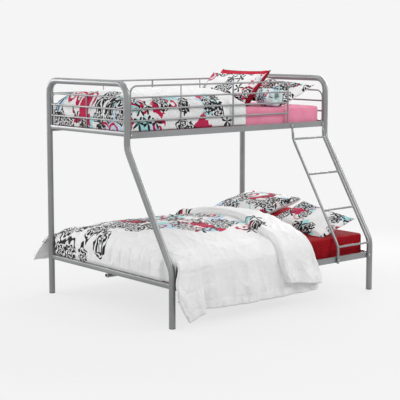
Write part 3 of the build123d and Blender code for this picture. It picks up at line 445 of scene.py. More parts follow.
def soften(t):
    """Smooth step from 0 at 0 to 1 at 1."""
    t = np.clip(t, 0, 1)
    return t * t * (3 - 2 * t)


def blend(a, b, share):
    """a at share 0 and b at share 1."""
    return a * (1 - share) + b * share


def make(name, points, faces, uvs, slot, replaces=()):
    """New smooth-shaded mesh piece riding on the root."""
    mesh = bpy.data.meshes.new(name)
    mesh.from_pydata([tuple(p) for p in points], [], faces)
    layer = mesh.uv_layers.new(name="cloth")
    loops = np.empty(len(mesh.loops), np.int32)
    mesh.loops.foreach_get("vertex_index", loops)
    layer.data.foreach_set("uv", np.asarray(uvs, np.float32)[loops].ravel())
    mesh.polygons.foreach_set("use_smooth", [True] * len(mesh.polygons))
    mesh.update()
    piece = bpy.data.objects.new(name, mesh)
    scene.collection.objects.link(piece)
    mesh.materials.append(material_of[slot])
    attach(piece, "root")
    if replaces:
        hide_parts(*replaces)
    return piece


def tube_faces(rows, count):
    """Faces that join closed rings of count points row to row."""
    faces = []
    for i in range(rows - 1):
        for j in range(count):
            k = (j + 1) % count
            faces.append((i * count + j, (i + 1) * count + j, (i + 1) * count + k, i * count + k))
    return faces


def normals_of(grid):
    """Unit normals of a grid of points."""
    n = np.cross(np.gradient(grid, axis=0), np.gradient(grid, axis=1))
    return n / np.maximum(np.linalg.norm(n, axis=2, keepdims=True), 1e-9)


def field_noise(places, scale, seed=0.0):
    """Smooth noise from -1 to 1 at rows of places (n, 3)."""
    return np.array([noise.noise(Vector((p[0] * scale + seed, p[1] * scale, p[2] * scale + seed * 0.37)))
                     for p in places])


def ridges(places, scale, seed, power=4.0):
    """Thin crease lines between 0 and 1."""
    return np.maximum(1 - np.abs(field_noise(places, scale, seed)) * 3.2, 0) ** power


def level_places(u, v):
    """Rows of places (n, 3) at height 0 from two grids."""
    return np.dstack([u, v, np.zeros(u.shape)]).reshape(-1, 3)


# ---------------------------------------------------------------- mattresses and sheets
MATTRESS_CORNER, MATTRESS_EDGE = 0.06, 0.02     # radii in plan and along the rims
SHEET_THICKNESS = 0.0013
SHEET_LIFT = 0.0014     # the most that a fold stands off the side


def rounded_slab(low, high, corner, edge, counts, open_below=False):
    """Rounded box as a welded grid, closed for a mattress or open below for its sheet."""
    low, high = np.array(low, float), np.array(high, float)
    core_low = low + np.array([corner, corner, 0 if open_below else edge])
    core_high = high - np.array([corner, corner, edge])
    index, points, faces = {}, [], []

    def place(*key):
        if key not in index:
            p = low + (high - low) * np.array(key) / counts
            q = np.clip(p, core_low, core_high)
            d = p - q
            flat = np.hypot(d[0], d[1])
            if flat > 1e-9:
                d[:2] *= max(abs(d[0]), abs(d[1])) / flat
            share, lift = np.hypot(d[0], d[1]) / corner, abs(d[2]) / edge
            if share > 0 and lift > 0:
                inner = np.array([d[0] * (1 - edge / corner), d[1] * (1 - edge / corner), 0])
                d = inner + (d - inner) * max(share, lift) / math.hypot(share, lift)
            index[key] = len(points)
            points.append(q + d)
        return index[key]

    nx, ny, nz = counts
    for i in range(nx):
        for j in range(ny):
            faces.append((place(i, j, nz), place(i + 1, j, nz), place(i + 1, j + 1, nz), place(i, j + 1, nz)))
            if not open_below:
                faces.append((place(i, j, 0), place(i, j + 1, 0), place(i + 1, j + 1, 0), place(i + 1, j, 0)))
    for i in range(nx):
        for k in range(nz):
            faces.append((place(i, 0, k), place(i + 1, 0, k), place(i + 1, 0, k + 1), place(i, 0, k + 1)))
            faces.append((place(i, ny, k), place(i, ny, k + 1), place(i + 1, ny, k + 1), place(i + 1, ny, k)))
    for j in range(ny):
        for k in range(nz):
            faces.append((place(0, j, k), place(0, j, k + 1), place(0, j + 1, k + 1), place(0, j + 1, k)))
            faces.append((place(nx, j, k), place(nx, j + 1, k), place(nx, j + 1, k + 1), place(nx, j, k + 1)))
    return np.array(points), faces


def flat_uvs(points):
    """Cloth coordinates that run on down the sides of a slab."""
    mid = points.mean(0)
    drop = points[:, 2].max() - points[:, 2]
    x, y = points[:, 0], points[:, 1]
    side_x = np.abs(x - mid[0]) / (np.ptp(x) / 2) > np.abs(y - mid[1]) / (np.ptp(y) / 2)
    return np.stack([np.where(side_x, x + np.sign(x - mid[0]) * drop, x),
                     np.where(side_x, y, y + np.sign(y - mid[1]) * drop)], 1)


def ticking(which):
    """Mattress in its ticking."""
    low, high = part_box(which + "_mattress")
    points, faces = rounded_slab(low, high, MATTRESS_CORNER, MATTRESS_EDGE, (76, 48, 8))
    mattress = make(which + "_mattress_ticking", points, faces, flat_uvs(points), slot="mattress_cover",
                    replaces=(which + "_mattress",))
    return mattress


def fitted_sheet(which, sheet_slot):
    """Fitted sheet with small folds down its sides."""
    low, high = (np.array(v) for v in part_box(which + "_fitted_sheet"))
    points, faces = rounded_slab(low, high, MATTRESS_CORNER + SHEET_THICKNESS, MATTRESS_EDGE + SHEET_THICKNESS,
                                 (150, 96, 12), open_below=True)
    wobble = field_noise(points * np.array([1.0, 1.0, 0.6]), 9.0, 3.1) * 0.0016
    pucker = ridges(points * np.array([1.0, 1.0, 0.15]), 14.0, 8.0, 3.0) * 0.003
    top_share = soften((points[:, 2] - low[2]) / (high[2] - low[2]))
    out = points - (low + high) / 2
    out[:, 2] = 0
    out /= np.maximum(np.linalg.norm(out, axis=1, keepdims=True), 1e-9)
    side = np.where(points[:, 2] < high[2] - 0.004, 1.0, 0.0)
    reach = (np.maximum(wobble, 0) + pucker * (1 - top_share * 0.6)) * side
    points = points + out * np.minimum(reach, SHEET_LIFT)[:, None]
    return make(which + "_sheet_cloth", points, faces, flat_uvs(points), slot=sheet_slot,
                replaces=(which + "_fitted_sheet",))


for which, sheet_slot in (("upper", "upper_sheet_cotton"), ("lower", "lower_sheet_cotton")):
    mattress, sheet = ticking(which), fitted_sheet(which, sheet_slot)


# ---------------------------------------------------------------- duvets
TUCK_ROWS = 18             # rows of a duvet's foot end that go down to the end rail
SHEET_FOOT_X = -0.9299     # clear of the foot end of the fitted sheets and its folds
RAIL_INNER_X = -0.9565     # clear of the inner side of the lower end rail
HEM_BULGE = 0.006          # how far the rounded hems stand out
STITCH_DEPTH, STITCH_WIDTH = 0.006, 0.007
LEAST_FILL = 0.006         # thickness that is left over the bed
ON_BED_LEAST = 0.02        # share above which a place counts as lying on the bed


def spaced(count):
    """Shares from 0 to 1, closer together at both ends."""
    t = np.linspace(0, 1, count)
    return 0.45 * t + 0.55 * (1 - np.cos(math.pi * t)) / 2


def on_bed(y, low, high, blend):
    """1 above the mattress and 0 on the drops."""
    return soften((y - low) / blend) * soften((high - y) / blend)


def quarter(share):
    """Rise of a quarter circle from 0 to 1."""
    return np.sqrt(np.clip(1 - (1 - np.clip(share, 0, 1)) ** 2, 0, 1))


def smooth_line(run, across, values, half):
    """Line through values in millimetres at places across, evened out by a running mean."""
    width = 2 * half + 1
    line = np.interp(run, across, np.array(values) * MM)
    return np.convolve(np.pad(line, half, mode="edge"), np.ones(width) / width, mode="valid")


def laid_out(foot, head, along, yz):
    """Grid of a duvet from its foot line to its head line, with the blended outlines across."""
    return np.dstack([foot + (head - foot) * along[:, None], yz])


def views(grid):
    """The x, y and z of a grid, to read and to write."""
    return np.moveaxis(grid, 2, 0)


def crown_places(start, end, edge, top, shares, heights):
    """Places over the crown of a duvet, in millimetres."""
    return [(start + (end - start) * share, edge + (top - edge) * height) for share, height in zip(shares, heights)]


def duvet_lines(rows, outline, middle, count_along, count_across):
    """Distance across at a middle row, shares along, and the grid of outlines blended foot to head."""
    lines = np.array([even(outline(*row[1:]), count_across) for row in rows])
    along = spaced(count_along)
    return run_of(lines[middle]), along, hermite([row[0] for row in rows], lines, along)


def round_head(grid, head, low, radius, over):
    """Rounds the head end down to a level where the duvet lies on the bed."""
    x, _, z = views(grid)
    z[:] = blend(z, low + (z - low) * quarter((head - x) / radius), over)


def tucked(grid, weight, x_rail, z_tuck, z_low, radius):
    """Rounds the foot end down and adds the rows that go down inside the end rail, to just above it."""
    x, _, z = views(grid)
    z[:] = blend(z, z_low + (z - z_low) * quarter((x - x[:1]) / radius), weight)
    foot_x, foot_y, foot_z = grid[0].T
    t = np.linspace(0, 1, TUCK_ROWS, endpoint=False)[:, None]
    rail = np.maximum(foot_x, x_rail)
    behind = rail + (foot_x - rail) * soften(t / 0.3)
    x = blend(foot_x - 0.006 * (1 - t), behind, weight[0])
    z = blend(foot_z, z_tuck + (foot_z - z_tuck) * t, weight[0])
    rows = np.dstack([x, np.broadcast_to(foot_y, x.shape), z])
    return np.concatenate([rows, grid]), np.concatenate([np.repeat(weight[:1], TUCK_ROWS, 0), weight])


def duvet_uvs(tuck, span, along, run):
    """Cloth coordinates of a duvet's grid in metres, negative on the rows of the tuck."""
    u = np.r_[np.linspace(-tuck, 0, TUCK_ROWS, endpoint=False), along * span]
    return np.stack(np.meshgrid(u, run, indexing="ij"), 2)


def end_fade(u, tuck, span):
    """0 at the foot and head ends of a duvet and 1 between."""
    return soften((u + tuck) / 0.06) * soften((span - u) / 0.08)


def soft_relief(u, v, seed, quilt_pitch):
    """Puffs, slanted creases and stitched lines of a duvet, in metres along its normal."""
    plane = level_places(u, v)
    drift = field_noise(plane, 4.0, seed + 9)[:, None] * 0.05
    relief = field_noise(plane, 4.0, seed) * 0.008 + field_noise(plane, 13.0, seed + 3) * 0.0012
    relief += ridges(plane * np.array([1.0, 0.42, 1.0]) + drift, 9.0, seed + 4, 3.0) * 0.0045
    slanted = plane @ np.array([[0.8, 0.35, 0], [-0.6, 0.25, 0], [0, 0, 1.0]])
    relief += ridges(slanted, 8.0, seed + 6, 5.0) * 0.0045
    across = v + 0.006 * np.sin(u * 11.0)
    from_line = np.abs((across / quilt_pitch) % 1.0 - 0.5) * quilt_pitch
    near_foot = 0.25 + 0.75 * soften((0.42 - u) / 0.3)
    return relief.reshape(u.shape) - STITCH_DEPTH * np.exp(-(from_line / STITCH_WIDTH) ** 2) * near_foot


def kept_below(inner, outer, drops):
    """Keeps the inner face under the outer one on the bed."""
    late = np.arange(len(inner))[:, None] >= TUCK_ROWS
    z = inner[:, :, 2]
    z[:] = np.where(late & ~drops, np.minimum(z, outer[:, :, 2] - LEAST_FILL), z)
    return inner


def closed_sheet(name, outer, inner, uv, slot, replaces=()):
    """Closed piece from an outer and an inner grid, with a rounded rim along both hems."""
    nv = outer.shape[1]

    def rim(edge, beside):
        out = outer[:, edge] - outer[:, beside]
        out /= np.maximum(np.linalg.norm(out, axis=1, keepdims=True), 1e-9)
        return ((outer[:, edge] + inner[:, edge]) / 2 + out * HEM_BULGE)[:, None]

    ring = np.concatenate([rim(0, 1), outer, rim(-1, -2), inner[:, ::-1]], 1)
    uv_ring = np.concatenate([uv[:, :1], uv, uv[:, -1:], uv[:, ::-1]], 1)
    rows, count = ring.shape[:2]
    faces = tube_faces(rows, count)
    for i, turn in ((0, False), (rows - 1, True)):
        start = i * count
        strip = [(start + 1 + j, start + 2 + j, start + count - 2 - j, start + count - 1 - j) for j in range(nv - 1)]
        strip.append((start, start + 1, start + count - 1))
        strip.append((start + nv, start + nv + 1, start + nv + 2))
        faces += [tuple(reversed(f)) if turn else f for f in strip]
    return make(name, ring.reshape(-1, 3), faces, uv_ring.reshape(-1, 2), slot, replaces)


# lower duvet, in millimetres: top of the sheet, inner side of the drops clear of legs and posts, thickness of
# the drops, heights of shoulder, knee and hems, and the sheet's side
LOWER_TOP, LOWER_INNER_Y, LOWER_CLOTH = 435.6, 750.15, 14.0
LOWER_SHOULDER, LOWER_KNEE, LOWER_HEM, LOWER_REAR_HEM = 415.6, 300.0, 95.0, 250.0
LOWER_EDGE_Y = 691.7
# the same duvet, in metres: cloth below and above the foot's edge, the edge beside leg and post and its
# swell between them, the ends of the drops past it, and what the drops flare out or fold in
LOWER_TUCK, LOWER_SPAN = 0.11, 1.40
LOWER_FOOT_X, LOWER_FOOT_SWELL = -0.9425, 0.0235
FRONT_DROP_PAST, REAR_DROP_PAST = 0.042, 0.105
REAR_FLARE, TIP_FLARE, PLEAT_DEPTH, SHALLOW_PLEAT = 0.046, 0.036, 0.008, 0.010
# limits of the outer face over the end rail and beside leg and post, and the height from which it passes over
OVER_RAIL_X, BESIDE_LEG_X, OVER_RAIL_Z = -0.972, -0.9426, 0.304
LOWER_TUCK_Z = 0.2988     # lowest row of the tuck, above the end rail
LOWER_BASE = 0.4368       # underside of the duvet on the sheet
# inner face: where the drops begin, its limit clear of legs and posts, and the thickness on drops, crown and foot
DROPS_Y, LEG_CLEAR_Y = 0.752, 0.7502
DROP_CLOTH, CROWN_CLOTH, FOOT_CLOTH = 0.0125, 0.013, 0.011
# share along, wave of the drops, height of the edges and of the crown
LOWER_ROWS = (
    (0.0, 0.3, 0.50, 0.74), (0.055, 0.9, 0.75, 0.86), (0.11, 0.2, 0.9, 0.95), (0.165, -1.0, 0.9, 1.0),
    (0.23, 0.7, 1.0, 1.08), (0.30, 1.0, 1.05, 1.12), (0.37, -0.6, 1.0, 1.12), (0.44, 0.5, 1.0, 1.1),
    (0.51, 0.9, 1.0, 1.08), (0.58, -0.5, 1.0, 1.04), (0.66, 0.3, 1.0, 1.02), (0.74, 0.8, 1.0, 1.04),
    (0.82, -0.3, 0.95, 1.0), (0.9, 0.4, 0.9, 0.96), (1.0, 0.2, 0.8, 0.9),
)


def lower_outline(wave, edge_share, crown_share):
    """Places across the lower duvet from the front hem over the crown to the rear hem."""
    fold = (1 + wave) * 10.0
    edge, top = LOWER_TOP + edge_share * 44.0, LOWER_TOP + crown_share * 118.0
    front, rear = -LOWER_INNER_Y - LOWER_CLOTH, LOWER_INNER_Y + LOWER_CLOTH
    places = [(front - 8 - fold, LOWER_HEM), (front - fold, LOWER_KNEE), (front - 2, LOWER_SHOULDER + 8),
              (-LOWER_EDGE_Y - 12, edge + 4)]
    places += crown_places(-LOWER_EDGE_Y, LOWER_EDGE_Y, edge, top, (0.08, 0.16, 0.34, 0.5, 0.66, 0.84, 0.92),
                           (0.38, 0.64, 0.93, 1.0, 0.93, 0.64, 0.38))
    places += [(LOWER_EDGE_Y + 12, edge + 4), (rear + 2, LOWER_SHOULDER + 8), (rear + fold / 2, LOWER_KNEE),
               (rear + fold / 2 + 30, LOWER_REAR_HEM)]
    return np.array(places) * MM


def shape_drops(grid, run, rear_hang, along):
    """Flares the rear corner out behind its post, and shapes the front drop's hem, tip and pleats."""
    x, y, z = views(grid)
    y += REAR_FLARE * soften((0.16 - along) / 0.16)[:, None] * rear_hang
    # a low tip at the foot, a deep pleat beside it, then a level edge
    hem = np.interp(x, [-0.985, -0.94, -0.896, -0.82, -0.75, -0.735, -0.70, -0.474, -0.097, 0.339, 0.373],
                    [0.20, 0.115, 0.047, 0.066, 0.086, 0.106, 0.112, 0.097, 0.093, 0.098, 0.135])
    shoulder = LOWER_SHOULDER * MM
    stretch = (shoulder - hem) / (shoulder - LOWER_HEM * MM)
    z[:] = np.where((y < 0) & (z < shoulder), shoulder - (shoulder - z) * stretch, z)
    drop = soften((0.33 - run) / 0.28)
    tip = 1 - soften((x + 0.756) / 0.022)
    y -= drop * (TIP_FLARE * tip - PLEAT_DEPTH * np.exp(-((x + 0.71) / 0.03) ** 2))
    y += drop * SHALLOW_PLEAT * np.exp(-((x + 0.05) / 0.08) ** 2)


def lower_inner(grid, outer, weight):
    """Inner face: level on the sheet, against the mattress end, one cloth behind the drops."""
    x, y, z = views(grid)
    drops = np.abs(y) > DROPS_Y
    inner_y = np.where(drops, y - np.sign(y) * DROP_CLOTH, np.clip(y, -LEG_CLEAR_Y, LEG_CLEAR_Y))
    level = np.where(np.abs(inner_y) < 0.7, LOWER_BASE, z - CROWN_CLOTH)
    lift = soften((0.742 - np.abs(inner_y)) / 0.05)
    inner_z = np.where(drops, z, blend(z, np.minimum(level, z), lift))
    pressed = np.maximum(x + FOOT_CLOTH, np.minimum(SHEET_FOOT_X, x + 0.05))
    on_top = (np.arange(len(grid))[:, None] >= TUCK_ROWS) & (x > -0.93)
    inner_x = np.where((weight > ON_BED_LEAST) & ~on_top, pressed, x)
    return kept_below(np.dstack([inner_x, inner_y, inner_z]), outer, drops)


def build_lower_duvet():
    run, along, yz = duvet_lines(LOWER_ROWS, lower_outline, 9, 180, 240)
    total = run[-1]
    head = smooth_line(run, [0, 0.12, 0.21, 0.36, 0.46, 0.60, 0.80, 1.02, 1.2, total],
                       [352, 372, 318, 252, 262, 330, 402, 462, 486, 488], 9)
    y_foot = yz[0, :, 0]
    foot = LOWER_FOOT_X - LOWER_FOOT_SWELL * soften((y_foot + 0.64) / 0.05) * soften((0.7035 - y_foot) / 0.014)
    front_hang, rear_hang = soften((0.345 - run) / 0.22), soften((run - (total - 0.24)) / 0.2)
    foot = foot - FRONT_DROP_PAST * front_hang - REAR_DROP_PAST * rear_hang
    grid = laid_out(foot, head, along, yz)
    shape_drops(grid, run, rear_hang, along)
    y = grid[:, :, 1]
    weight = on_bed(y, -0.745, 0.7445, 0.04)
    round_head(grid, head, LOWER_BASE + 0.012, 0.085, on_bed(y, -0.70, 0.70, 0.05))
    grid, weight = tucked(grid, weight, RAIL_INNER_X, LOWER_TUCK_Z, 0.405, 0.115)
    normal = normals_of(grid)
    uv = duvet_uvs(LOWER_TUCK, LOWER_SPAN, along, run)
    u, v = uv[:, :, 0], uv[:, :, 1]
    hangs = soften((0.36 - run) / 0.3) + soften((run - total + 0.3) / 0.25)
    creases = ridges(level_places(u + 0.25 * v, v * 0.22), 10.0, 31.0, 2.0).reshape(u.shape)
    folds = np.sin(u * 27.0 + 1.2 * np.sin(u * 9.0 + 1.0))
    relief = soft_relief(u, v, 2.0, 0.115) + (creases * 0.010 + folds * 0.008) * hangs
    outer = grid + normal * (relief * end_fade(u, LOWER_TUCK, LOWER_SPAN))[:, :, None]
    # clear of the leg, the post and the end rail
    x, y, z = views(outer)
    clear = np.where((y > -0.60) & (y < 0.692), OVER_RAIL_X, BESIDE_LEG_X)
    clear = np.where(z < OVER_RAIL_Z, np.maximum(clear, RAIL_INNER_X), clear)
    x[:] = np.where(weight > 0.5, np.maximum(x, clear), x)
    inner = lower_inner(grid, outer, weight)
    return SimpleNamespace(outer=outer, inner=inner, normal=normal, uv=uv, run=run, head=head, foot=foot)


lower_shape = build_lower_duvet()
lower_duvet = closed_sheet("lower_duvet_quilt", lower_shape.outer, lower_shape.inner, lower_shape.uv,
                           "lower_duvet_print", ("lower_duvet",))


def read_grid(grid, a, b):
    """Bilinear reading of a grid at fractional rows and columns."""
    a, b = np.clip(a, 0, grid.shape[0] - 1.001), np.clip(b, 0, grid.shape[1] - 1.001)
    i, j = a.astype(int), b.astype(int)
    s, t = (a - i)[..., None], (b - j)[..., None]
    return (grid[i, j] * (1 - s) * (1 - t) + grid[i + 1, j] * s * (1 - t)
            + grid[i, j + 1] * (1 - s) * t + grid[i + 1, j + 1] * s * t)


# turned-back band: thickness and what the front end has more, rounding of its free edge and of its head
# edge, and its distance from the front hem, where it slants, and from the rear hem
BAND_THICK, BAND_THICKER = 0.040, 0.010
BAND_ROLL, BAND_HEAD_ROLL = 0.022, 0.03
BAND_FRONT, BAND_SLANT, BAND_REAR = 0.098, 0.050, 0.06


def fold_band(duvet):
    """The head end turned back over the duvet as a thick band with a rolled edge."""
    rows, count = 70, 240
    run, span = duvet.run, duvet.head - duvet.foot
    inner_line = smooth_line(run, [0, 0.10, 0.21, 0.36, 0.75, 1.12, 1.5, run[-1]],
                             [30, 12, -50, -62, 52, 214, 240, 250], 8)
    start = (inner_line - duvet.foot) / span
    t = spaced(rows)[:, None]
    first = BAND_FRONT - BAND_SLANT * t
    across = first + (run[-1] - BAND_REAR - first) * np.linspace(0, 1, count)
    begin = np.interp(across, run, start)
    share = begin + (1 - begin) * t
    width = (1 - begin) * np.interp(across, run, span)
    along = duvet.uv[TUCK_ROWS:, 0, 0] / LOWER_SPAN
    a = TUCK_ROWS + np.interp(share, along, np.arange(len(along)))
    b = np.interp(across, run, np.arange(len(run)))
    p, m = read_grid(duvet.outer, a, b), read_grid(duvet.normal, a, b)
    m /= np.linalg.norm(m, axis=2, keepdims=True)
    body = quarter(t * width / BAND_ROLL) * (0.25 + 0.75 * quarter((1 - t) * width / BAND_HEAD_ROLL))
    thick = BAND_THICK + BAND_THICKER * soften((0.2 - across) / 0.2)
    plane = level_places(share * LOWER_SPAN, across)
    ripple = (field_noise(plane, 7.0, 21.0) * 0.005 + field_noise(plane, 16.0, 23.0) * 0.002
              + ridges(plane * np.array([1.0, 0.5, 1.0]), 10.0, 25.0, 3.0) * 0.004).reshape(p.shape[:2])
    height = (thick + ripple) * body
    return p + m * (0.001 + height)[:, :, None], p + m * 0.0008, np.dstack([share * LOWER_SPAN, across])


band = closed_sheet("lower_duvet_fold", *fold_band(lower_shape), "lower_duvet_print")

# upper duvet: share along, height of the edges and of the crown
UPPER_ROWS = ((0.0, 0.9, 0.75), (0.06, 1.2, 0.92), (0.15, 1.3, 0.98), (0.25, 1.35, 1.0), (0.5, 1.2, 1.05),
              (0.72, 1.0, 1.0), (0.92, 0.9, 0.95), (1.0, 0.85, 0.9))
UPPER_TUCK, UPPER_SPAN = 0.12, 1.1     # cloth below and above the foot's edge, in metres
UPPER_BASE = 1.3928     # underside of the duvet on the sheet
UPPER_SIDES = (-0.2137, 0.7017)     # clear of the sides of the upper sheet
UPPER_TUCK_Z = 1.2785     # lowest row of the tuck, above the end rail
UPPER_FOOT_X, UPPER_FOOT_SWELL = -0.9275, 0.030     # its foot edge at the sides, and its swell between them
UPPER_RAIL_X, UPPER_GUARD_X = -0.9566, -0.9585     # clear of the end rail and of the end guard
OUTER_Y, INNER_Y = (-0.2262, 0.7142), (-0.2145, 0.7025)     # limits of its faces, between the guards
UPPER_DROPS_TOP = 1.380     # top of the inner face on the drops


def upper_outline(edge_share, crown_share):
    """Places across the upper duvet from the front hem to the rear hem."""
    front_out, rear_out, front_in, rear_in = -223.95, 711.95, -213.7, 701.7
    top_level, shoulder, knee, hem = 1391.6, 1365.6, 1330, 1280.0
    edge, top = top_level + edge_share * 66.0, top_level + crown_share * 148.0
    a, b = front_in + 8, rear_in - 8
    places = [(front_out, hem), (front_out, knee), (front_out, shoulder + 12), (a, edge - 8)]
    places += crown_places(a, b, edge, top, (0.07, 0.16, 0.34, 0.5, 0.66, 0.84, 0.93),
                           (0.33, 0.62, 0.93, 1.0, 0.93, 0.62, 0.33))
    places += [(b, edge - 8), (rear_out, shoulder + 12), (rear_out, knee), (rear_out, hem)]
    return np.array(places) * MM


def build_upper_duvet():
    run, along, yz = duvet_lines(UPPER_ROWS, upper_outline, 4, 140, 180)
    head = smooth_line(run, [0, 0.12, 0.26, 0.45, 0.62, run[-1]], [140, 140, 150, 205, 252, 262], 8)
    y_foot = yz[0, :, 0]
    front, rear = UPPER_SIDES
    foot = UPPER_FOOT_X - UPPER_FOOT_SWELL * soften((y_foot - front) / 0.02) * soften((rear - y_foot) / 0.02)
    grid = laid_out(foot, head, along, yz)
    y = grid[:, :, 1]
    round_head(grid, head, UPPER_BASE + 0.01, 0.075, on_bed(y, -0.213, 0.701, 0.04))
    grid, weight = tucked(grid, on_bed(y, -0.2139, 0.7019, 0.012), UPPER_RAIL_X, UPPER_TUCK_Z, 1.40, 0.10)
    uv = duvet_uvs(UPPER_TUCK, UPPER_SPAN, along, run)
    u, v = uv[:, :, 0], uv[:, :, 1]
    x, y, z = views(grid)
    free = np.maximum(soften((z - 1.405) / 0.03), 0.35 * weight)
    relief = soft_relief(u, v, 12.0, 0.105) * end_fade(u, UPPER_TUCK, UPPER_SPAN)
    outer = grid + normals_of(grid) * (relief * free)[:, :, None]
    # clear of the end rail and of the guards
    outer[:, :, 0] = np.maximum(outer[:, :, 0], UPPER_GUARD_X)
    outer[:, :, 1] = np.clip(outer[:, :, 1], *OUTER_Y)
    drops = (y < front) | (y > rear)
    inner = np.dstack([np.maximum(x, np.where(weight > ON_BED_LEAST, SHEET_FOOT_X, UPPER_FOOT_X)),
                       np.clip(y, *INNER_Y), np.minimum(z, np.where(drops, UPPER_DROPS_TOP, UPPER_BASE))])
    return outer, kept_below(inner, outer, drops), uv


upper_duvet = closed_sheet("upper_duvet_quilt", *build_upper_duvet(), "upper_duvet_print", ("upper_duvet",))


# ---------------------------------------------------------------- pillows
PILLOW_LENGTH = 0.60
PANEL_CELLS = (40, 56)     # across the depth and along the length of a panel
DRAWN_SIDES, DRAWN_ENDS = 0.055, 0.04     # how far the panel is drawn in, as shares
SETTLE_FRAMES, SETTLE_REACH = 14, 0.012     # length of the cloth run, and the most that it moves a corner
SETTLE_CLOTH = {
    "quality": 4, "mass": 0.25, "tension_stiffness": 12.0, "compression_stiffness": 12.0, "shear_stiffness": 6.0,
    "bending_stiffness": 0.4, "use_pressure": True, "uniform_pressure_force": 1.6,
}
FLAT_START = 0.62     # thickness before the pressure run, as a share of the pillow's
LOWER_REST, UPPER_REST = 0.4362, 1.3922     # heights that the pillows lie on


def settle(piece):
    """Short cloth run under inner pressure; returns the settled corner places."""
    modifier = piece.modifiers.new("settle", "CLOTH")
    for key, value in SETTLE_CLOTH.items():
        setattr(modifier.settings, key, value)
    modifier.settings.effector_weights.gravity = 0.0
    modifier.collision_settings.use_collision = False
    modifier.collision_settings.use_self_collision = False
    modifier.point_cache.frame_start, modifier.point_cache.frame_end = 1, SETTLE_FRAMES
    for step in range(1, SETTLE_FRAMES + 1):
        scene.frame_set(step)
    ready = piece.evaluated_get(bpy.context.evaluated_depsgraph_get())
    points = np.empty(len(ready.data.vertices) * 3)
    ready.data.vertices.foreach_get("co", points)
    piece.modifiers.remove(modifier)
    scene.frame_set(1)
    return points.reshape(-1, 3)


def pillow_shape(depth, length, thick, rim):
    """Two sewn panels: places, faces, back faces, cloth coordinates and the seam, crowned and drawn in."""
    a, b = (np.sin(np.linspace(-0.5 * math.pi, 0.5 * math.pi, count + 1) * 0.92) / math.sin(0.46 * math.pi)
            for count in PANEL_CELLS)
    A, B = np.meshgrid(a, b, indexing="ij")
    x = A * (depth / 2 - rim) * (1 - DRAWN_SIDES * (1 - B ** 2) * np.abs(A))
    y = B * (length / 2 - rim) * (1 - DRAWN_ENDS * (1 - A ** 2) * np.abs(B))
    crown = (np.clip(1 - np.abs(A) ** 2.4, 0, 1) ** 0.62) * (np.clip(1 - np.abs(B) ** 2.8, 0, 1) ** 0.62)
    z = crown * thick / 2
    edge = np.ones(A.shape, bool)
    edge[1:-1, 1:-1] = False
    top_id = np.arange(A.size).reshape(A.shape)
    low_id = np.where(edge, top_id, 0)
    low_id[~edge] = A.size + np.arange((~edge).sum())
    places = np.concatenate([np.stack([x, y, z], 2).reshape(-1, 3), np.stack([x[~edge], y[~edge], -z[~edge]], 1)])
    faces, back = [], []
    for i in range(len(a) - 1):
        for j in range(len(b) - 1):
            faces.append((top_id[i, j], top_id[i + 1, j], top_id[i + 1, j + 1], top_id[i, j + 1]))
            faces.append((low_id[i, j], low_id[i, j + 1], low_id[i + 1, j + 1], low_id[i + 1, j]))
            back += [False, True]
    faces = [tuple(int(i) for i in face) for face in faces]
    seam = list(top_id[:, 0]) + list(top_id[-1, 1:]) + list(top_id[-2::-1, -1]) + list(top_id[0, -2:0:-1])
    return places, faces, back, places[:, :2], [int(i) for i in seam]


def flange(settled, loop, rim, want, seed):
    """Rings of points and faces of the flat cloth rim around a sham."""
    seam = settled[loop]
    corner = seam[:, :2] / (want[:2] / 2)
    out = np.sign(corner) * np.clip(np.abs(corner) - 0.84, 0, 1) / 0.16
    out = np.where(np.abs(corner) == np.abs(corner).max(1, keepdims=True), np.sign(corner), out)
    wobble = field_noise(seam, 22.0, seed + 5)
    rings = []
    for share, lift in ((0.5, 0.0016), (1.0, 0.0012), (1.0, -0.0012), (0.5, -0.0016)):
        ring = seam.copy()
        ring[:, :2] += out * rim * share
        ring[:, 2] += lift + wobble * 0.012 * share * rim / 0.03
        rings.append(ring)
    start, count = len(settled), len(loop)
    chain = [loop] + [[start + k * count + i for i in range(count)] for k in range(4)] + [loop]
    faces = []
    for one, two in zip(chain, chain[1:]):
        for i in range(count):
            k = (i + 1) % count
            faces.append((one[i], two[i], two[k], one[k]))
    return rings, faces


def piping_around(name, seam, material):
    """Thin cord sewn into a pillow's seam."""
    curve = bpy.data.curves.new(name, "CURVE")
    curve.dimensions = "3D"
    line = curve.splines.new("POLY")
    line.points.add(len(seam) - 1)
    for spot, p in zip(line.points, seam):
        spot.co = (*p, 1)
    line.use_cyclic_u = True
    curve.bevel_depth = 0.0032
    curve.bevel_resolution = 2
    piping = bpy.data.objects.new(name, curve)
    scene.collection.objects.link(piping)
    curve.materials.append(material)
    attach(piping, "root")


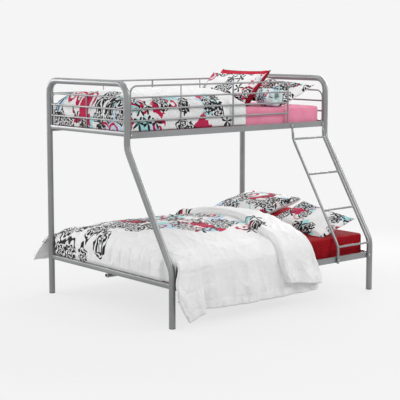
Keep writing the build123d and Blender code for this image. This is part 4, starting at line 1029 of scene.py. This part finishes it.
def pillow(name, node, size, turn, tilt, slot, back_material, rim=0.0, seed=1.0, presses=(),
           piping=None, uv_shift=(0.0, 0.0), uv_turn=0.0, roll=0.0, shift=(0.0, 0.0, 0.0)):
    """Pillow of a size near its CAD solid's middle, settled under pressure, and flat where it rests."""
    depth, length, thick = size
    places, faces, back, uvs, loop = pillow_shape(depth, length, thick * FLAT_START, rim)
    bump = field_noise(places, 16.0, seed) * 0.004
    places[:, 2] += bump * np.sign(places[:, 2]) * np.clip(np.abs(places[:, 2]) / 0.02, 0, 1)
    piece = make(name, places, faces, uvs, slot)
    piece.parent = None
    settled = places + np.clip(settle(piece) - places, -SETTLE_REACH, SETTLE_REACH)
    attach(piece, "root")
    want = np.array([depth - 2 * rim, length - 2 * rim, thick])
    settled = (settled - (settled.max(0) + settled.min(0)) / 2) * (want / np.ptp(settled, axis=0))
    ripple = field_noise(settled, 14.0, seed + 2) * 0.003
    settled[:, 2] += ripple * np.sign(settled[:, 2]) * (np.abs(settled[:, 2]) > 0.008)
    points = settled
    if rim > 0:
        rings, rim_faces = flange(settled, loop, rim, want, seed)
        faces = faces + rim_faces
        points = np.concatenate([settled] + rings)
        uvs = np.concatenate([uvs] + [ring[:, :2] for ring in rings])
    # turned and tilted into place, with its middle near the solid's
    move = (Matrix.Rotation(math.radians(turn), 4, "Z") @ Matrix.Rotation(math.radians(-tilt), 4, "Y")
            @ Matrix.Rotation(math.radians(roll), 4, "X"))
    low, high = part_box(node)
    turned = points @ np.array(move.to_3x3()).T + np.array((low + high) / 2 + Vector(shift))
    turned[:, 2] = np.maximum(turned[:, 2], LOWER_REST if node.startswith("lower") else UPPER_REST)
    for point, normal in presses:
        turned -= np.outer(np.minimum((turned - point) @ normal, 0), normal)
    c, s = math.cos(uv_turn), math.sin(uv_turn)
    uvs = np.stack([uvs[:, 0] * c - uvs[:, 1] * s + uv_shift[0], uvs[:, 0] * s + uvs[:, 1] * c + uv_shift[1]], 1)
    bpy.data.objects.remove(piece)
    piece = make(name, turned, faces, uvs, slot, replaces=(node,))
    piece.data.materials.append(back_material)
    for face, is_back in zip(piece.data.polygons, back):
        face.material_index = 1 if is_back else 0
    smooth = piece.modifiers.new("smooth", "SUBSURF")
    smooth.levels, smooth.render_levels = 1, 1
    if piping:
        piping_around(name + "_piping", turned[loop], piping)


def middle_of(node):
    low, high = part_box(node)
    return np.array((low + high) / 2)


# the two tilted lower pillows press flat against each other on the plane between them
LEAN = math.radians(12)
PLAY = 0.0004
UNDER_SHARE = 0.448     # share of the way between their middles that the under pillow takes
press_way = np.array([-math.sin(LEAN), 0, math.cos(LEAN)])
under_mid = middle_of("lower_under_pillow")
press_reach = (middle_of("lower_rear_pillow") - under_mid) @ press_way
press_place = under_mid + press_way * (press_reach * UNDER_SHARE)

red_cotton = material_of["red_sham_cotton"]
pillow("lower_under_pillow_fill", "lower_under_pillow", (0.425, PILLOW_LENGTH, 0.09), 0, 12, "red_sham_cotton",
       red_cotton, seed=2.0, presses=((press_place - press_way * PLAY, -press_way),))
pillow("lower_rear_pillow_fill", "lower_rear_pillow", (0.425, PILLOW_LENGTH, 0.112), 0, 12, "pillow_print", plain_white,
       seed=3.0, presses=((press_place + press_way * PLAY, press_way),), uv_shift=(0.3, 0.9))
pillow("lower_front_sham_fill", "lower_front_sham", (0.38, PILLOW_LENGTH, 0.094), -5, 20, "sham_print", plain_white,
       rim=0.016, seed=4.0, uv_shift=(1.3, 0.2), roll=8.0, shift=(-0.016, 0.0, 0.02))
pillow("upper_back_sham_fill", "upper_back_sham", (0.38, PILLOW_LENGTH, 0.092), -3, 50, "red_sham_cotton",
       red_cotton, seed=5.0, piping=piping_dark, shift=(-0.014, 0.030, -0.015))
pillow("upper_print_sham_fill", "upper_print_sham", (0.332, PILLOW_LENGTH, 0.092), 3, 42, "sham_print", plain_white,
       rim=0.014, seed=6.0, uv_shift=(0.2, 2.3), shift=(0.016, -0.024, 0.033))
pillow("upper_head_pillow_fill", "upper_head_pillow", (0.38, PILLOW_LENGTH, 0.092), -4, 26, "pillow_print", plain_white,
       rim=0.018, seed=7.0, uv_shift=(2.2, 1.3), uv_turn=0.8, roll=5.0, shift=(0.0, 0.0, 0.02))


def bolster():
    """Short round cushion with gathered ends."""
    low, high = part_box("upper_bolster")
    mid, half, radius = (low + high) / 2, (high.y - low.y) / 2, (high.z - low.z) / 2
    profile = [(0.0, half - 0.010), (0.012, half - 0.0085), (0.03, half - 0.003), (0.048, half - 0.0005),
               (0.060, half - 0.006), (radius - 0.0015, half - 0.020), (radius - 0.0005, half - 0.045),
               (radius, half - 0.075), (radius, 0.0)]
    line = even(profile, 30)
    line = np.concatenate([line, [(r, -y) for r, y in line[-2::-1]]])
    turns, gathers, unevenness, skin = 72, 18, 0.0012, 0.0014
    points, uvs = [], []
    for r, y in line:
        for j in range(turns):
            t = FULL_TURN * j / turns
            near_end = max(0.0, min(1.0, (abs(y) - 0.05) / 0.03)) * min(1, r / 0.02)
            gather = unevenness * math.sin(t * gathers) * near_end
            dent = unevenness * noise.noise(Vector((math.cos(t) * 2, y * 20, math.sin(t) * 2)))
            q = max(r - skin + dent, 0.0)
            points.append((mid.x + math.cos(t) * q, mid.y + y + gather, mid.z + math.sin(t) * q))
            uvs.append((0.02 + math.cos(t) * r * 1.2, math.sin(t) * r * 1.2) if abs(y) > half - 0.03
                       else (t * radius, y + 0.4))
    faces = [(a, d, c, b) for a, b, c, d in tube_faces(len(line), turns)]
    piece = make("upper_bolster_roll", points, faces, uvs, slot="bolster_print", replaces=("upper_bolster",))
    piece.modifiers.new("smooth", "SUBSURF").levels = 1


bolster()

# ---------------------------------------------------------------- floor, world and lamps
BACKDROP = (0.913, 0.913, 0.913, 1)
SKY_STRENGTH = 0.66
FLOOR_GLOW = 0.80              # share of the backdrop's tone in the floor as the camera sees it
FLOOR_FADE = (1.9, 3.6)        # the floor turns into the backdrop between these distances
FLOOR_HALF = 8.0


def floor():
    """Pale floor that takes soft shadows and fades out into the backdrop."""
    web = material_web("floor_pale")
    place = web.place()
    tone = web.mix(web.noise(place, scale=4.0, detail=2.0), (0.62, 0.62, 0.62, 1), (0.64, 0.64, 0.64, 1))
    matte = web.add("ShaderNodeBsdfDiffuse", {"Color": tone}).outputs[0]
    glow = web.add("ShaderNodeEmission", {"Color": BACKDROP, "Strength": 1.0}).outputs[0]
    near = web.mix_shaders(web.seen() * FLOOR_GLOW, matte, glow)
    clear = web.add("ShaderNodeBsdfTransparent").outputs[0]
    web.show(web.mix_shaders(web.step(web.length(place), *FLOOR_FADE), near, clear))
    mesh = bpy.data.meshes.new("floor")
    corners = [(x * FLOOR_HALF, y * FLOOR_HALF, 0) for x, y in ((-1, -1), (1, -1), (1, 1), (-1, 1))]
    mesh.from_pydata(corners, [], [(0, 1, 2, 3)])
    mesh.materials.append(web.owner)
    piece = bpy.data.objects.new("floor", mesh)
    scene.collection.objects.link(piece)


def studio():
    """World that lights from all sides and shows the backdrop's tone."""
    scene.world = bpy.data.worlds.new("studio")
    web = Web(scene.world, "ShaderNodeOutputWorld")
    sky, backdrop = (web.add("ShaderNodeBackground", {0: colour, 1: strength}).outputs[0]
                     for colour, strength in (((1.0, 1.0, 1.0, 1), SKY_STRENGTH), (BACKDROP, 1.0)))
    web.show(web.mix_shaders(web.seen(), sky, backdrop))


def lamp(name, place, aim, size, power):
    data = bpy.data.lights.new(name, "AREA")
    data.shape, data.size, data.size_y = "RECTANGLE", size, size * 0.8
    data.energy = power
    aimed(name, data, place, Vector(aim) - Vector(place))


floor()
studio()
lamp("key", (3.4, -5.0, 4.4), (0.1, 0.0, 0.7), 2.4, 170)
lamp("fill", (-5.5, -3.2, 3.0), (0.0, 0.0, 0.8), 3.5, 60)
lamp("top", (-1.2, 1.2, 5.4), (0.0, 0.0, 0.6), 4.0, 60)
lamp("back", (-3.2, 4.6, 2.4), (0.0, 0.0, 0.6), 2.5, 120)
lamp("right", (4.6, 1.6, 2.4), (0.0, 0.0, 0.5), 2.5, 220)
